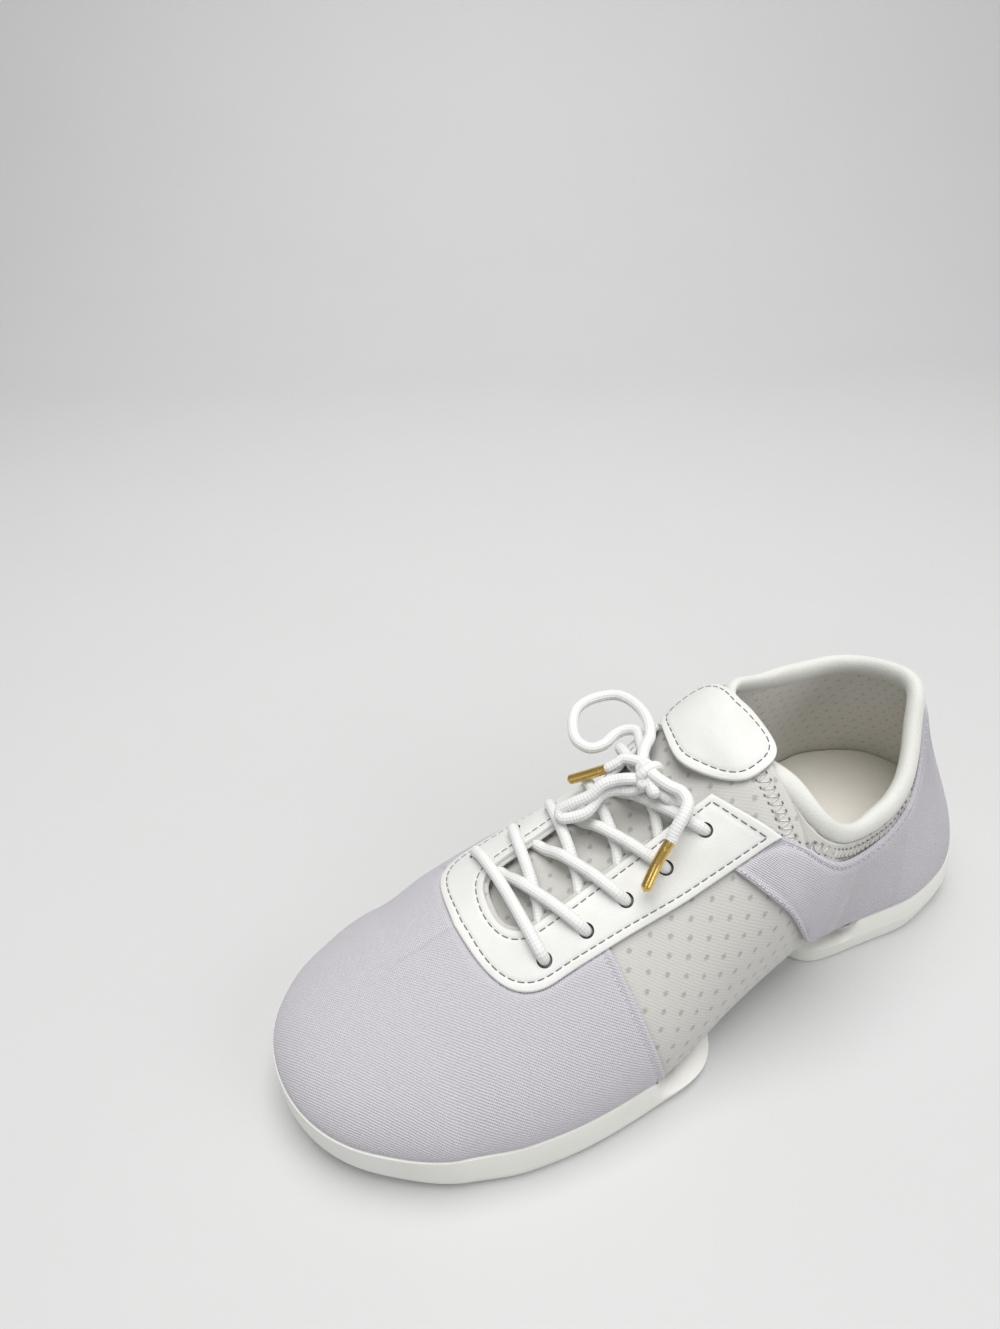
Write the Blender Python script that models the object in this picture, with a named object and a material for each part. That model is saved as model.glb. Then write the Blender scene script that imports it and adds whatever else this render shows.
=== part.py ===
"""A left dance sneaker with a split rubber sole, a stretch-knit upper and a leather eyestay.

Frame: +X towards the toe, +Y towards the outer (lateral) side, +Z up, floor at Z = 0.
The upper is a family of sections that stand round the shoe like the pages of a fan.  Place
round the shoe is one number, the way: 0 heel back, 1 to 2 along the lateral side, 3 toe tip,
4 to 5 back along the medial side, 6 heel back again.  Each section is one cubic curve from
the foot (where the wall meets the sole) to the collar's edge or to the ridge of the instep.
"""
import bpy
import bmesh
import numpy as np
from math import radians, pi

MM = 0.001

# Driving sizes of the shoe
LENGTH = 266 * MM
BALL_WIDTH = 100 * MM
HEEL_WIDTH = 68 * MM
COLLAR_HEIGHT = 92 * MM
INSTEP_HEIGHT = 63 * MM
FORE_BED = 6 * MM
HEEL_BED = 9 * MM
ARCH_BED = 12.5 * MM
TOE_SPRING = 7 * MM

# Upper and what is sewn to it
WALL = 2.0 * MM
CORNER = 6 * MM
LASTING_MARGIN = 16 * MM
CANVAS = 0.9 * MM
LEATHER = 1.3 * MM
GAP = 0.3 * MM
FIT = 0.4 * MM
LIFT = 0.75 * MM
CUP_CLEAR = 0.8 * MM
BED_CLEAR = 0.9 * MM
ROLL_RADIUS = 4.4 * MM
PATCH_LENGTH = 22 * MM
PATCH_WIDTH = 34 * MM

# Throat: half widths are measured round the instep from its ridge
WINDOW_HALF = 27 * MM
STAY_INNER = 12 * MM
STAY_INNER_FLARE = 10 * MM
STAY_FRONT_OUTER = 29 * MM
STAY_REAR_OUTER = 40 * MM
EYELET_ROW = 22 * MM
EYELET_RADIUS = 2.4 * MM
EYELETS_PER_SIDE = 5
TONGUE_THICK = 1.8 * MM
TONGUE_HALF = 31 * MM
TONGUE_SINK = 2.6 * MM
LACE_RADIUS = 1.9 * MM

# Insole and rubber
INSOLE_THICK = 3 * MM
FORE_FLARE = 3.4 * MM
HEEL_FLARE = 3.4 * MM
LIP = 1.1 * MM
FORE_RIM = 15 * MM
HEEL_RIM = 17 * MM
HEEL_TAB = 26 * MM
HEEL_STEP = 8.5 * MM
EDGE_ROUND = 2.0 * MM

# Heel stud
STUD_HEIGHT = 15 * MM
STUD_WIDTH = 5.5 * MM
STUD_DEPTH = 3.2 * MM

# Places along the shoe, as shares of its length
HEEL_AXIS = 0.188
TOE_AXIS = 0.831
NECK = 0.375
SPRING_START = 0.70
HEEL_SOLE_FRONT = 0.335
HEEL_SOLE_SHOULDER = 0.270
FORE_SOLE_REAR = 0.490
FORE_SOLE_SHOULDER = 0.575
HEEL_OPENING_END = 0.290
FORE_OPENING_END = 0.550
WINDOW_REAR = 0.430
WINDOW_FRONT = 0.743
STAY_REAR = 0.400
STAY_INNER_REAR = 0.425
STAY_INNER_FRONT = 0.716
STAY_OUTER_FRONT = 0.760
STAY_BEND = 0.671
VAMP_SEAM_LOW = 0.579
VAMP_SEAM_TOP = 0.624
QUARTER_SEAM_LOW = 0.316
QUARTER_SEAM_TOP = 0.466
TONGUE_REAR = 0.405
TONGUE_FRONT = 0.772
FIRST_EYELET = 0.690
LAST_EYELET = 0.475

# Foot of the wall round the shoe: width it is a share of, along, turn of the section in
# degrees (0 to the toe, 90 lateral), distance out from the axis, lean out in degrees, handle
FOOT_ROWS = (
    (HEEL_WIDTH, HEEL_AXIS, 180, 0.684, -10, 0.35),
    (HEEL_WIDTH, HEEL_AXIS, 150, 0.637, -8, 0.35),
    (HEEL_WIDTH, HEEL_AXIS, 120, 0.522, -4, 0.35),
    (HEEL_WIDTH, HEEL_AXIS, 90, 0.478, 0, 0.35),
    (BALL_WIDTH, 0.271, 90, 0.318, 4, 0.35),
    (BALL_WIDTH, 0.316, 90, 0.325, 8, 0.38),
    (BALL_WIDTH, 0.384, 90, 0.365, 10, 0.45),
    (BALL_WIDTH, 0.470, 90, 0.425, 10, 0.38),
    (BALL_WIDTH, 0.586, 90, 0.506, 6, 0.30),
    (BALL_WIDTH, 0.695, 90, 0.528, 4, 0.28),
    (BALL_WIDTH, 0.752, 90, 0.520, 4, 0.28),
    (BALL_WIDTH, TOE_AXIS, 90, 0.480, 4, 0.28),
    (BALL_WIDTH, TOE_AXIS, 60, 0.434, 4, 0.28),
    (BALL_WIDTH, TOE_AXIS, 30, 0.430, 2, 0.28),
    (BALL_WIDTH, TOE_AXIS, 0, 0.419, 0, 0.28),
    (BALL_WIDTH, TOE_AXIS, -30, 0.378, 2, 0.28),
    (BALL_WIDTH, TOE_AXIS, -60, 0.342, 4, 0.28),
    (BALL_WIDTH, TOE_AXIS, -90, 0.352, 4, 0.28),
    (BALL_WIDTH, 0.752, -90, 0.395, 5, 0.30),
    (BALL_WIDTH, 0.695, -90, 0.400, 6, 0.32),
    (BALL_WIDTH, 0.586, -90, 0.350, 8, 0.36),
    (BALL_WIDTH, 0.470, -90, 0.280, 12, 0.40),
    (BALL_WIDTH, 0.384, -90, 0.260, 14, 0.40),
    (BALL_WIDTH, 0.316, -90, 0.268, 12, 0.40),
    (BALL_WIDTH, 0.271, -90, 0.285, 8, 0.38),
    (HEEL_WIDTH, HEEL_AXIS, -90, 0.463, 4, 0.35),
    (HEEL_WIDTH, HEEL_AXIS, -120, 0.522, 0, 0.35),
    (HEEL_WIDTH, HEEL_AXIS, -150, 0.637, -6, 0.35),
)
# Collar's edge: along, turn, out as a share of the ball width, height as a share of the
# collar's height, direction of the wall there in degrees above level, handle
COLLAR_ROWS = (
    (HEEL_AXIS, 180, 0.205, 0.924, 72, 0.35),
    (HEEL_AXIS, 160, 0.165, 0.864, 70, 0.35),
    (HEEL_AXIS, 140, 0.159, 0.823, 70, 0.35),
    (HEEL_AXIS, 116, 0.174, 0.771, 74, 0.35),
    (HEEL_AXIS, 90, 0.225, 0.713, 78, 0.35),
    (0.226, 90, 0.266, 0.678, 80, 0.35),
    (0.271, 90, 0.293, 0.685, 82, 0.35),
    (0.316, 90, 0.315, 0.728, 80, 0.35),
    (0.342, 90, 0.320, 0.777, 70, 0.36),
    (0.361, 90, 0.290, 0.813, 55, 0.345),
    (0.370, 90, 0.240, 0.851, 40, 0.33),
    (0.3735, 90, 0.140, 0.908, 25, 0.40),
    (0.3735, -90, 0.235, 0.992, 35, 0.32),
    (0.361, -90, 0.262, 0.984, 57, 0.37),
    (0.342, -90, 0.270, 0.962, 65, 0.36),
    (0.316, -90, 0.283, 0.929, 75, 0.35),
    (0.271, -90, 0.293, 0.886, 84, 0.35),
    (HEEL_AXIS, -90, 0.300, 0.853, 86, 0.35),
    (HEEL_AXIS, -120, 0.290, 0.859, 82, 0.35),
    (HEEL_AXIS, -150, 0.240, 0.897, 76, 0.35),
)
# Ridge of the instep: along, side (share of the ball width, lateral +), height (share of the
# instep's), slope across in degrees, handles of the lateral and the medial section
RIDGE_ROWS = (
    (0.375, -0.120, 1.460, 6, 0.55, 0.45),
    (0.406, -0.110, 1.402, 7, 0.54, 0.46),
    (0.432, -0.100, 1.330, 9, 0.52, 0.48),
    (0.470, -0.080, 1.242, 10, 0.48, 0.50),
    (0.519, -0.060, 1.121, 9, 0.44, 0.50),
    (0.586, -0.040, 0.999, 8, 0.40, 0.50),
    (0.643, -0.020, 0.925, 8, 0.38, 0.50),
    (0.695, -0.010, 0.853, 8, 0.38, 0.48),
    (0.752, -0.010, 0.782, 7, 0.38, 0.44),
    (0.831, 0.000, 0.667, 5, 0.38, 0.38),
)
TOE_FALL = 19
# Upper edge of the heel's canvas: along, turn, share of the collar's height
CANVAS_ROWS = (
    (HEEL_AXIS, 180, 0.870), (HEEL_AXIS, 132, 0.790), (HEEL_AXIS, 105, 0.708), (HEEL_AXIS, 90, 0.660),
    (0.226, 90, 0.620), (0.271, 90, 0.622), (0.316, 90, 0.655), (0.353, 90, 0.728), (0.387, 90, 0.790),
    (0.387, -90, 0.600), (0.353, -90, 0.620), (0.316, -90, 0.650), (0.271, -90, 0.680),
    (HEEL_AXIS, -90, 0.712), (HEEL_AXIS, -132, 0.790),
)
# Rim of the heel's rubber: along, turn, share of the way from its side height to the tab's
HEEL_RIM_ROWS = (
    (HEEL_AXIS, 180, 1.00), (HEEL_AXIS, 165, 0.55), (HEEL_AXIS, 148, 0.18), (HEEL_AXIS, 120, 0.0),
    (HEEL_AXIS, 90, 0.0), (HEEL_AXIS, -90, 0.0), (HEEL_AXIS, -120, 0.0), (HEEL_AXIS, -148, 0.18),
    (HEEL_AXIS, -165, 0.55),
)


def steady(x, xs, ys):
    """Monotone cubic through the rows (xs, ys), with no bump between two rows."""
    xs = np.asarray(xs, float)
    ys = np.asarray(ys, float)
    step = np.diff(xs)
    rise = np.diff(ys) / step
    slope = np.zeros(len(xs))
    for k in range(1, len(xs) - 1):
        if rise[k - 1] * rise[k] > 0:
            near = 2 * step[k] + step[k - 1]
            far = step[k] + 2 * step[k - 1]
            slope[k] = (near + far) / (near / rise[k - 1] + far / rise[k])
    slope[0] = rise[0]
    slope[-1] = rise[-1]
    x = np.clip(x, xs[0], xs[-1])
    k = np.clip(np.searchsorted(xs, x) - 1, 0, len(xs) - 2)
    t = (x - xs[k]) / step[k]
    h = step[k]
    start = (1 + 2 * t) * (1 - t) ** 2 * ys[k] + t * (1 - t) ** 2 * h * slope[k]
    return start + t * t * (3 - 2 * t) * ys[k + 1] - t * t * (1 - t) * h * slope[k + 1]


def smooth_step(x):
    """Smooth change from 0 to 1 as x goes from 0 to 1."""
    x = np.clip(x, 0, 1)
    return x * x * (3 - 2 * x)


def side_way(along, hand):
    """Way of the straight section at a share of the length; hand is 1 lateral, -1 medial."""
    share = (np.asarray(along, float) - HEEL_AXIS) / (TOE_AXIS - HEEL_AXIS)
    return np.where(np.asarray(hand) > 0, 1 + share, 5 - share)


def row_way(along, turn):
    """Way of a table row."""
    if along == HEEL_AXIS and turn >= 90:
        return (180 - turn) / 90
    if along == HEEL_AXIS:
        return 5 + (-90 - turn) / 90
    if along == TOE_AXIS:
        return 2 + (90 - turn) / 90
    return float(side_way(along, turn))


def around(ways, values, way):
    """Value at a way, read from rows that go round the shoe."""
    order = np.argsort(ways)
    ways = np.asarray(ways, float)[order]
    values = np.asarray(values, float)[order]
    ways = np.concatenate([ways[-3:] - 6, ways, ways[:3] + 6])
    values = np.concatenate([values[-3:], values, values[:3]])
    return steady(way, ways, values)


def spring(x):
    """Height of the tread above the floor: it curves up under the toe."""
    share = (np.asarray(x) / LENGTH - SPRING_START) / (1 - SPRING_START)
    return TOE_SPRING * np.clip(share, 0, None) ** 2


def bed(x):
    """Height of the footbed's underside along the shoe."""
    rows = (
        (0.000, HEEL_BED), (0.190, HEEL_BED), (0.300, 0.6 * HEEL_BED + 0.4 * ARCH_BED),
        (0.390, ARCH_BED), (0.450, 0.97 * ARCH_BED), (0.520, 0.5 * (ARCH_BED + FORE_BED)),
        (0.600, 1.05 * FORE_BED), (0.700, FORE_BED), (1.000, FORE_BED))
    return steady(np.asarray(x) / LENGTH, [r[0] for r in rows], [r[1] for r in rows]) + spring(x)


def ridge(along):
    """Side, height, cross slope and the two handles of the instep's ridge."""
    rows = np.array(RIDGE_ROWS)
    side, up, tilt, left, right = (steady(along, rows[:, 0], rows[:, k]) for k in range(1, 6))
    return side * BALL_WIDTH, up * INSTEP_HEIGHT, tilt, left, right


FOOT_WAYS = [row_way(row[1], row[2]) for row in FOOT_ROWS]
NECK_SIDE, NECK_UP, NECK_TILT, NECK_LEFT, NECK_RIGHT = (float(v) for v in ridge(NECK))
TOPS = [(row_way(along, turn), out * BALL_WIDTH, up * COLLAR_HEIGHT, tilt, reach)
        for along, turn, out, up, tilt, reach in COLLAR_ROWS]
TOPS.append((float(side_way(NECK, 1)), NECK_SIDE, NECK_UP, NECK_TILT, NECK_LEFT))
TOPS.append((float(side_way(NECK, -1)), -NECK_SIDE, NECK_UP, -NECK_TILT, NECK_RIGHT))


def axis_of(way):
    """Place of a section's axis (share of the length) and the section's turn in radians."""
    way = np.mod(way, 6)
    stops = [0, 1, 2, 4, 5, 6]
    along = np.interp(way, stops, [HEEL_AXIS, HEEL_AXIS, TOE_AXIS, TOE_AXIS, HEEL_AXIS, HEEL_AXIS])
    turn = np.interp(way, stops, [180, 90, 90, -90, -90, -180])
    return along, np.radians(turn)


def foot_out(way):
    """Distance from the axis to the foot of the wall."""
    return around(FOOT_WAYS, [row[0] * row[3] for row in FOOT_ROWS], np.mod(way, 6))


def section(way):
    """Axis, turn and the four control points (out, up) of the sections at the ways given."""
    way = np.mod(np.asarray(way, float), 6)
    along, turn = axis_of(way)
    foot = foot_out(way)
    lean = np.radians(around(FOOT_WAYS, [row[4] for row in FOOT_ROWS], way))
    rise = around(FOOT_WAYS, [row[5] for row in FOOT_ROWS], way)
    foot_up = bed(along * LENGTH + foot * np.cos(turn)) + CORNER
    ways = [row[0] for row in TOPS]
    out, up, tilt, reach = (around(ways, [row[k] for row in TOPS], way) for k in range(1, 5))
    side, crest, cross, left, right = ridge(np.clip(along, NECK, TOE_AXIS))
    fall = np.tan(radians(TOE_FALL)) * np.cos(turn) + np.tan(np.radians(cross)) * np.sin(turn)
    on_ridge = along >= NECK
    out = np.where(on_ridge, side * np.sin(turn), out)
    up = np.where(on_ridge, crest, up)
    tilt = np.where(on_ridge, np.arctan(fall), np.radians(tilt))
    reach = np.where(on_ridge, np.where(turn > 0, left, right), reach)
    chord = np.hypot(foot - out, up - foot_up)
    low = np.stack([foot, foot_up], -1)
    high = np.stack([out, up], -1)
    low_handle = low + (rise * chord)[..., None] * np.stack([np.sin(lean), np.cos(lean)], -1)
    high_handle = high + (reach * chord)[..., None] * np.stack([np.cos(tilt), -np.sin(tilt)], -1)
    return along * LENGTH, turn, low, low_handle, high_handle, high


def outer(way, t):
    """Point on the upper's outer side: t is 0 at the foot, 1 at the collar's edge or ridge."""
    axis, turn, a, b, c, d = section(way)
    t = np.asarray(t, float)[..., None]
    p = (1 - t) ** 3 * a + 3 * t * (1 - t) ** 2 * b + 3 * t * t * (1 - t) * c + t ** 3 * d
    return np.stack([axis + p[..., 0] * np.cos(turn), p[..., 0] * np.sin(turn), p[..., 1]], -1)


def normal(way, t):
    """Unit vector out of the upper's outer side."""
    step = 0.004
    t = np.clip(t, step, 1 - 2 * step)
    across = outer(way, t + step) - outer(way, t - step)
    round_about = outer(way + 5 * step, t) - outer(way - 5 * step, t)
    n = np.cross(across, round_about)
    return n / np.linalg.norm(n, axis=-1, keepdims=True)


def skin(way, t, lift):
    """Outer side moved out by lift."""
    way, t = np.broadcast_arrays(np.asarray(way, float), np.asarray(t, float))
    return outer(way, t) + lift * normal(way, t)


def lengths(way):
    """Shares t along the sections and the lengths of the curves from the foot up to them."""
    ts = np.linspace(0, 1, 61)
    line = outer(way[..., None] + 0 * ts, ts + 0 * way[..., None])
    steps = np.linalg.norm(np.diff(line, axis=-2), axis=-1)
    run = np.concatenate([np.zeros(steps.shape[:-1] + (1,)), np.cumsum(steps, axis=-1)], axis=-1)
    return ts, run


def t_from_foot(way, length):
    """Where a section is a given length along its curve from the foot."""
    way, length = np.broadcast_arrays(np.asarray(way, float), np.asarray(length, float))
    ts, run = lengths(way)
    flat = [np.interp(g, r, ts) for g, r in zip(length.ravel(), run.reshape(-1, len(ts)))]
    return np.array(flat).reshape(way.shape)


def length_at(way, t):
    """Length along a section's curve from the foot to t."""
    way, t = np.broadcast_arrays(np.asarray(way, float), np.asarray(t, float))
    ts, run = lengths(way)
    flat = [np.interp(x, ts, r) for x, r in zip(t.ravel(), run.reshape(-1, len(ts)))]
    return np.array(flat).reshape(way.shape)


def between(way, low, high, share):
    """Share of the length between two places t of the sections, as a place t."""
    a, b = length_at(way, low), length_at(way, high)
    return t_from_foot(way, a + (b - a) * share)


def t_at_height(way, up):
    """Where a section first reaches a height."""
    ts = np.linspace(0, 1, 61)
    way, up = np.broadcast_arrays(np.asarray(way, float), np.asarray(up, float))
    heights = outer(way[..., None] + 0 * ts, ts + 0 * way[..., None])[..., 2]
    flat = [np.interp(u, np.maximum.accumulate(h), ts)
            for u, h in zip(up.ravel(), heights.reshape(-1, len(ts)))]
    return np.array(flat).reshape(way.shape)


def t_at_girth(way, girth):
    """Where a section is a given girth (length along its curve) away from its top end."""
    way, girth = np.broadcast_arrays(np.asarray(way, float), np.asarray(girth, float))
    return t_from_foot(way, length_at(way, 1) - girth)


def instep(along, girth, lift):
    """Point over the instep at a share of the length and a girth from the ridge (lateral +)."""
    along, girth, lift = np.broadcast_arrays(*(np.asarray(v, float) for v in (along, girth, lift)))
    way = side_way(along, np.where(girth >= 0, 1, -1))
    t = t_at_girth(way, np.abs(girth))
    return outer(way, t) + lift[..., None] * normal(way, t)


def blunt(x, start, end, power):
    """1 until start, then down to 0 at end along a rounded corner."""
    share = np.clip((np.asarray(x, float) - start) / (end - start), 0, 1)
    return (1 - share ** power) ** (1 / power)


def window_girth(along):
    """Half width of the upper's throat window."""
    middle = 0.5 * (WINDOW_REAR + WINDOW_FRONT)
    front = blunt(along, middle, WINDOW_FRONT, 5)
    rear = blunt(-np.asarray(along), -middle, -WINDOW_REAR, 4)
    return WINDOW_HALF * np.minimum(front, rear)


def stay_girth(along):
    """Girth of the eyestay's outer edge along its straight sides; it widens to the rear."""
    share = np.clip((STAY_BEND - np.asarray(along, float)) / (STAY_BEND - STAY_REAR), 0, 1)
    return STAY_FRONT_OUTER + (STAY_REAR_OUTER - STAY_FRONT_OUTER) * share ** 1.6


def stay_front(angle, grow):
    """Eyestay's rounded front edge grown outward: place along and girth.

    The angle runs from 0 at the lateral side over 90 degrees at the front to 180 medial.
    The edge is a blunt oval that slants back on its lateral half.
    """
    side = np.cos(angle)
    front = np.abs(np.sin(angle))
    half = STAY_FRONT_OUTER + grow
    girth = half * np.sign(side) * np.abs(side) ** 0.625
    ahead = STAY_OUTER_FRONT - STAY_BEND + grow / LENGTH
    along = STAY_BEND + ahead * front ** 0.625 - 0.16 * np.clip(girth, 0, None) / LENGTH * front ** 0.5
    return along, np.where(front > 0.9999, 0, girth)


# Middle of the soles' plan on the floor, which main sets before it builds the pieces
ORIGIN = np.zeros(3)


def new_object(name, mesh, surface):
    """Object with the mesh and material, smooth across all but its sharp edges."""
    mesh.materials.append(surface)
    mesh.shade_smooth()
    mesh.set_sharp_from_angle(angle=radians(40))
    piece = bpy.data.objects.new(name, mesh)
    bpy.context.scene.collection.objects.link(piece)
    return piece


def mesh_of(name, points, faces, close=0.02 * MM):
    """Mesh from points and faces with points that meet joined."""
    mesh = bpy.data.meshes.new(name)
    mesh.from_pydata([tuple(p) for p in np.asarray(points).reshape(-1, 3) - ORIGIN], [], faces)
    work = bmesh.new()
    work.from_mesh(mesh)
    bmesh.ops.remove_doubles(work, verts=work.verts, dist=close)
    bmesh.ops.dissolve_degenerate(work, edges=work.edges, dist=0.5 * close)
    work.to_mesh(mesh)
    work.free()
    mesh.validate()
    return mesh


def sheet_faces(rows, columns, wrap=False):
    """Faces of a grid whose points are numbered row by row, facing columns cross rows."""
    faces = []
    for i in range(rows if wrap else rows - 1):
        k = (i + 1) % rows
        for j in range(columns - 1):
            faces.append((i * columns + j, i * columns + j + 1, k * columns + j + 1, k * columns + j))
    return faces


def sheet(name, grid, thick, surface, wrap=False, outward=True, close=0.02 * MM):
    """Grid of points given a thickness: outward from the points, or inward."""
    rows, columns = grid.shape[:2]
    piece = new_object(name, mesh_of(name, grid, sheet_faces(rows, columns, wrap), close), surface)
    wall = piece.modifiers.new("thickness", "SOLIDIFY")
    wall.thickness = thick
    wall.offset = 1 if outward else -1
    return piece


def ladder_faces(count, levels):
    """Faces of a stack of closed loops, each loop being count lateral then count medial points.

    The first and the last loop are closed by rungs between the two sides.
    """
    ring = 2 * count
    faces = []
    for level in range(levels - 1):
        for k in range(ring):
            n = (k + 1) % ring
            faces.append((level * ring + k, level * ring + n, (level + 1) * ring + n,
                          (level + 1) * ring + k))
    last = (levels - 1) * ring
    for k in range(count - 1):
        a, b = k, k + 1
        c, d = ring - 1 - k - 1, ring - 1 - k
        faces.append((d, c, b, a))
        faces.append((last + a, last + b, last + c, last + d))
    return faces


def outward_mesh(name, points, faces, close=0.02 * MM):
    """Closed mesh with every face pointing out."""
    mesh = mesh_of(name, points, faces, close)
    work = bmesh.new()
    work.from_mesh(mesh)
    bmesh.ops.recalc_face_normals(work, faces=work.faces)
    work.to_mesh(mesh)
    work.free()
    return mesh


def plan_of(ways):
    """Plan outline of the wall's foot at the ways given."""
    along, turn = axis_of(ways)
    out = foot_out(ways)
    return np.stack([along * LENGTH + out * np.cos(turn), out * np.sin(turn)], -1)


def plan_normals(loop):
    """Unit vectors out of a closed plan outline that runs from lateral to medial over the toe."""
    tangent = np.roll(loop, -1, axis=0) - np.roll(loop, 1, axis=0)
    n = np.stack([-tangent[:, 1], tangent[:, 0]], -1)
    return n / np.linalg.norm(n, axis=1, keepdims=True)


def end_arc(shoulder, end, half, count):
    """Rounded end of a sole on one side: plan points from the centre line to the shoulder."""
    power = 2 / 3.0
    angle = np.linspace(0.06, 1, count, endpoint=False) * pi / 2
    x = shoulder + (end - shoulder) * np.cos(angle) ** power
    y = half * np.sin(angle) ** power
    return np.stack([x, y], -1)


def cup_inside(reach):
    """Offsets and heights over the bed of a cup sole's inside, from its rim down the corner."""
    top = np.arccos(1 - np.clip(reach / CORNER, 0, 1))
    rows = []
    for share in (1, 0.75, 0.5, 0.25, 0):
        a = top * share
        out = -CORNER * (1 - np.sin(a)) + CUP_CLEAR * np.sin(a)
        rows.append((out, CORNER * (1 - np.cos(a)) - BED_CLEAR * np.cos(a), True))
    return rows


def rim_out(ways, z_rim):
    """How far the wall stands out from its foot at the rubber's rim."""
    t = t_at_height(ways, z_rim)
    top = outer(ways, t)
    low = outer(ways, 0 * t)
    _, turn = axis_of(ways)
    return (top[:, 0] - low[:, 0]) * np.cos(turn) + (top[:, 1] - low[:, 1]) * np.sin(turn)


def stack(loop, inward, levels):
    """Rings of a sole: levels hold the offset out, the height, and whether the height is over
    the bed, where the offset follows the sections as the upper's own corner does."""
    n = plan_normals(loop)
    rings = []
    for out, up, on_bed in levels:
        flat = loop + (inward if on_bed else n) * np.broadcast_to(out, len(loop))[:, None]
        up = np.broadcast_to(up, len(loop)) + (bed(flat[:, 0]) if on_bed else 0)
        rings.append(np.concatenate([flat, up[:, None]], axis=1))
    return np.array(rings)


def stacked(name, rings, surface):
    """Closed solid from rings, with its first and last ring closed."""
    faces = ladder_faces(rings.shape[1] // 2, len(rings))
    return new_object(name, outward_mesh(name, rings, faces), surface)


def rubber_levels(z_low, z_bed, z_rim, out_rim, flare, step):
    """Levels of a cup sole: tread edge, widest line, rim, lip and the inside down to the bed."""
    reach = z_rim - z_bed
    open_end = reach < CORNER
    inside = cup_inside(reach)
    lip_in = np.where(open_end, inside[0][0] + 0.3 * MM, out_rim + CUP_CLEAR)
    dip = np.where(open_end, 0.7 * MM, 0)
    waist = z_low + step + 0.6 * (z_rim - z_low - step)
    return [
        (flare - EDGE_ROUND, z_low, False),
        (flare - 0.3 * EDGE_ROUND, z_low + 0.3 * EDGE_ROUND, False),
        (flare, z_low + step, False),
        (0.5 * (flare + lip_in + LIP), waist, False),
        (lip_in + LIP, z_rim - 0.1 * MM - dip, False),
        (lip_in, reach - dip, True),
    ] + inside


def sole_loop(ways, ends):
    """Closed plan loop of a sole and the direction of its sections at each of its points.

    Ends is the rounded end as plan points on the lateral side, its mirror is the medial one.
    """
    lateral, medial = plan_of(ways), plan_of(6 - ways)
    _, turn = axis_of(ways)
    out = np.stack([np.cos(turn), np.sin(turn)], -1)
    straight = np.array([0, 1.0]) + 0 * ends[0]
    if ends[0][0, 0] < lateral[0, 0]:
        left = np.concatenate([ends[0], lateral])
        right = np.concatenate([ends[1], medial])
        dirs = np.concatenate([straight, out])
    else:
        left = np.concatenate([lateral, ends[0]])
        right = np.concatenate([medial, ends[1]])
        dirs = np.concatenate([out, straight])
    loop = np.concatenate([left, right[::-1]])
    dirs = np.concatenate([dirs, (dirs * (1, -1))[::-1]])
    end = np.isclose(np.abs(dirs[:, 1]), 1) & np.isin(loop[:, 0], np.concatenate([ends[0][:, 0], ends[1][:, 0]]))
    return loop, np.where(end[:, None], plan_normals(loop), dirs)


def fore_sole():
    """Forefoot rubber: a shallow cup with a rounded rear end under the arch."""
    corner = float(side_way(FORE_SOLE_SHOULDER, 1))
    ways = np.concatenate([side_way([FORE_SOLE_SHOULDER, 0.586, 0.598, 0.611, 0.625, 0.645, 0.67, 0.70, 0.73, 0.76, 0.795], 1),
                           np.linspace(2, 2.97, 10)])
    rear, shoulder = FORE_SOLE_REAR * LENGTH, (FORE_SOLE_SHOULDER - 0.012) * LENGTH
    half_left = plan_of(ways)[0, 1]
    half_right = -plan_of(6 - ways)[0, 1]
    ends = (end_arc(shoulder, rear, half_left, 7), end_arc(shoulder, rear, half_right, 7) * (1, -1))
    loop, dirs = sole_loop(ways, ends)
    rise = np.concatenate([np.zeros(7), smooth_step((ways - corner) / 0.10)])
    rise = np.concatenate([rise, rise[::-1]])
    full = np.concatenate([np.full(7, corner), ways])
    all_ways = np.concatenate([full, 6 - full[::-1]])
    z_bed = bed(loop[:, 0])
    z_rim = z_bed - BED_CLEAR + rise * (FORE_RIM - FORE_BED + BED_CLEAR)
    out_rim = rim_out(all_ways, z_rim)
    levels = rubber_levels(spring(loop[:, 0]), z_bed, z_rim, out_rim, FORE_FLARE, 0.3 * FORE_RIM)
    return stack(loop, dirs, levels)


def heel_rim_height(ways):
    """Height of the heel rubber's rim, with its tab at the back."""
    rows = HEEL_RIM_ROWS
    share = around([row_way(row[0], row[1]) for row in rows], [row[2] for row in rows], ways)
    return HEEL_RIM + (HEEL_TAB - HEEL_RIM) * share


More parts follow.
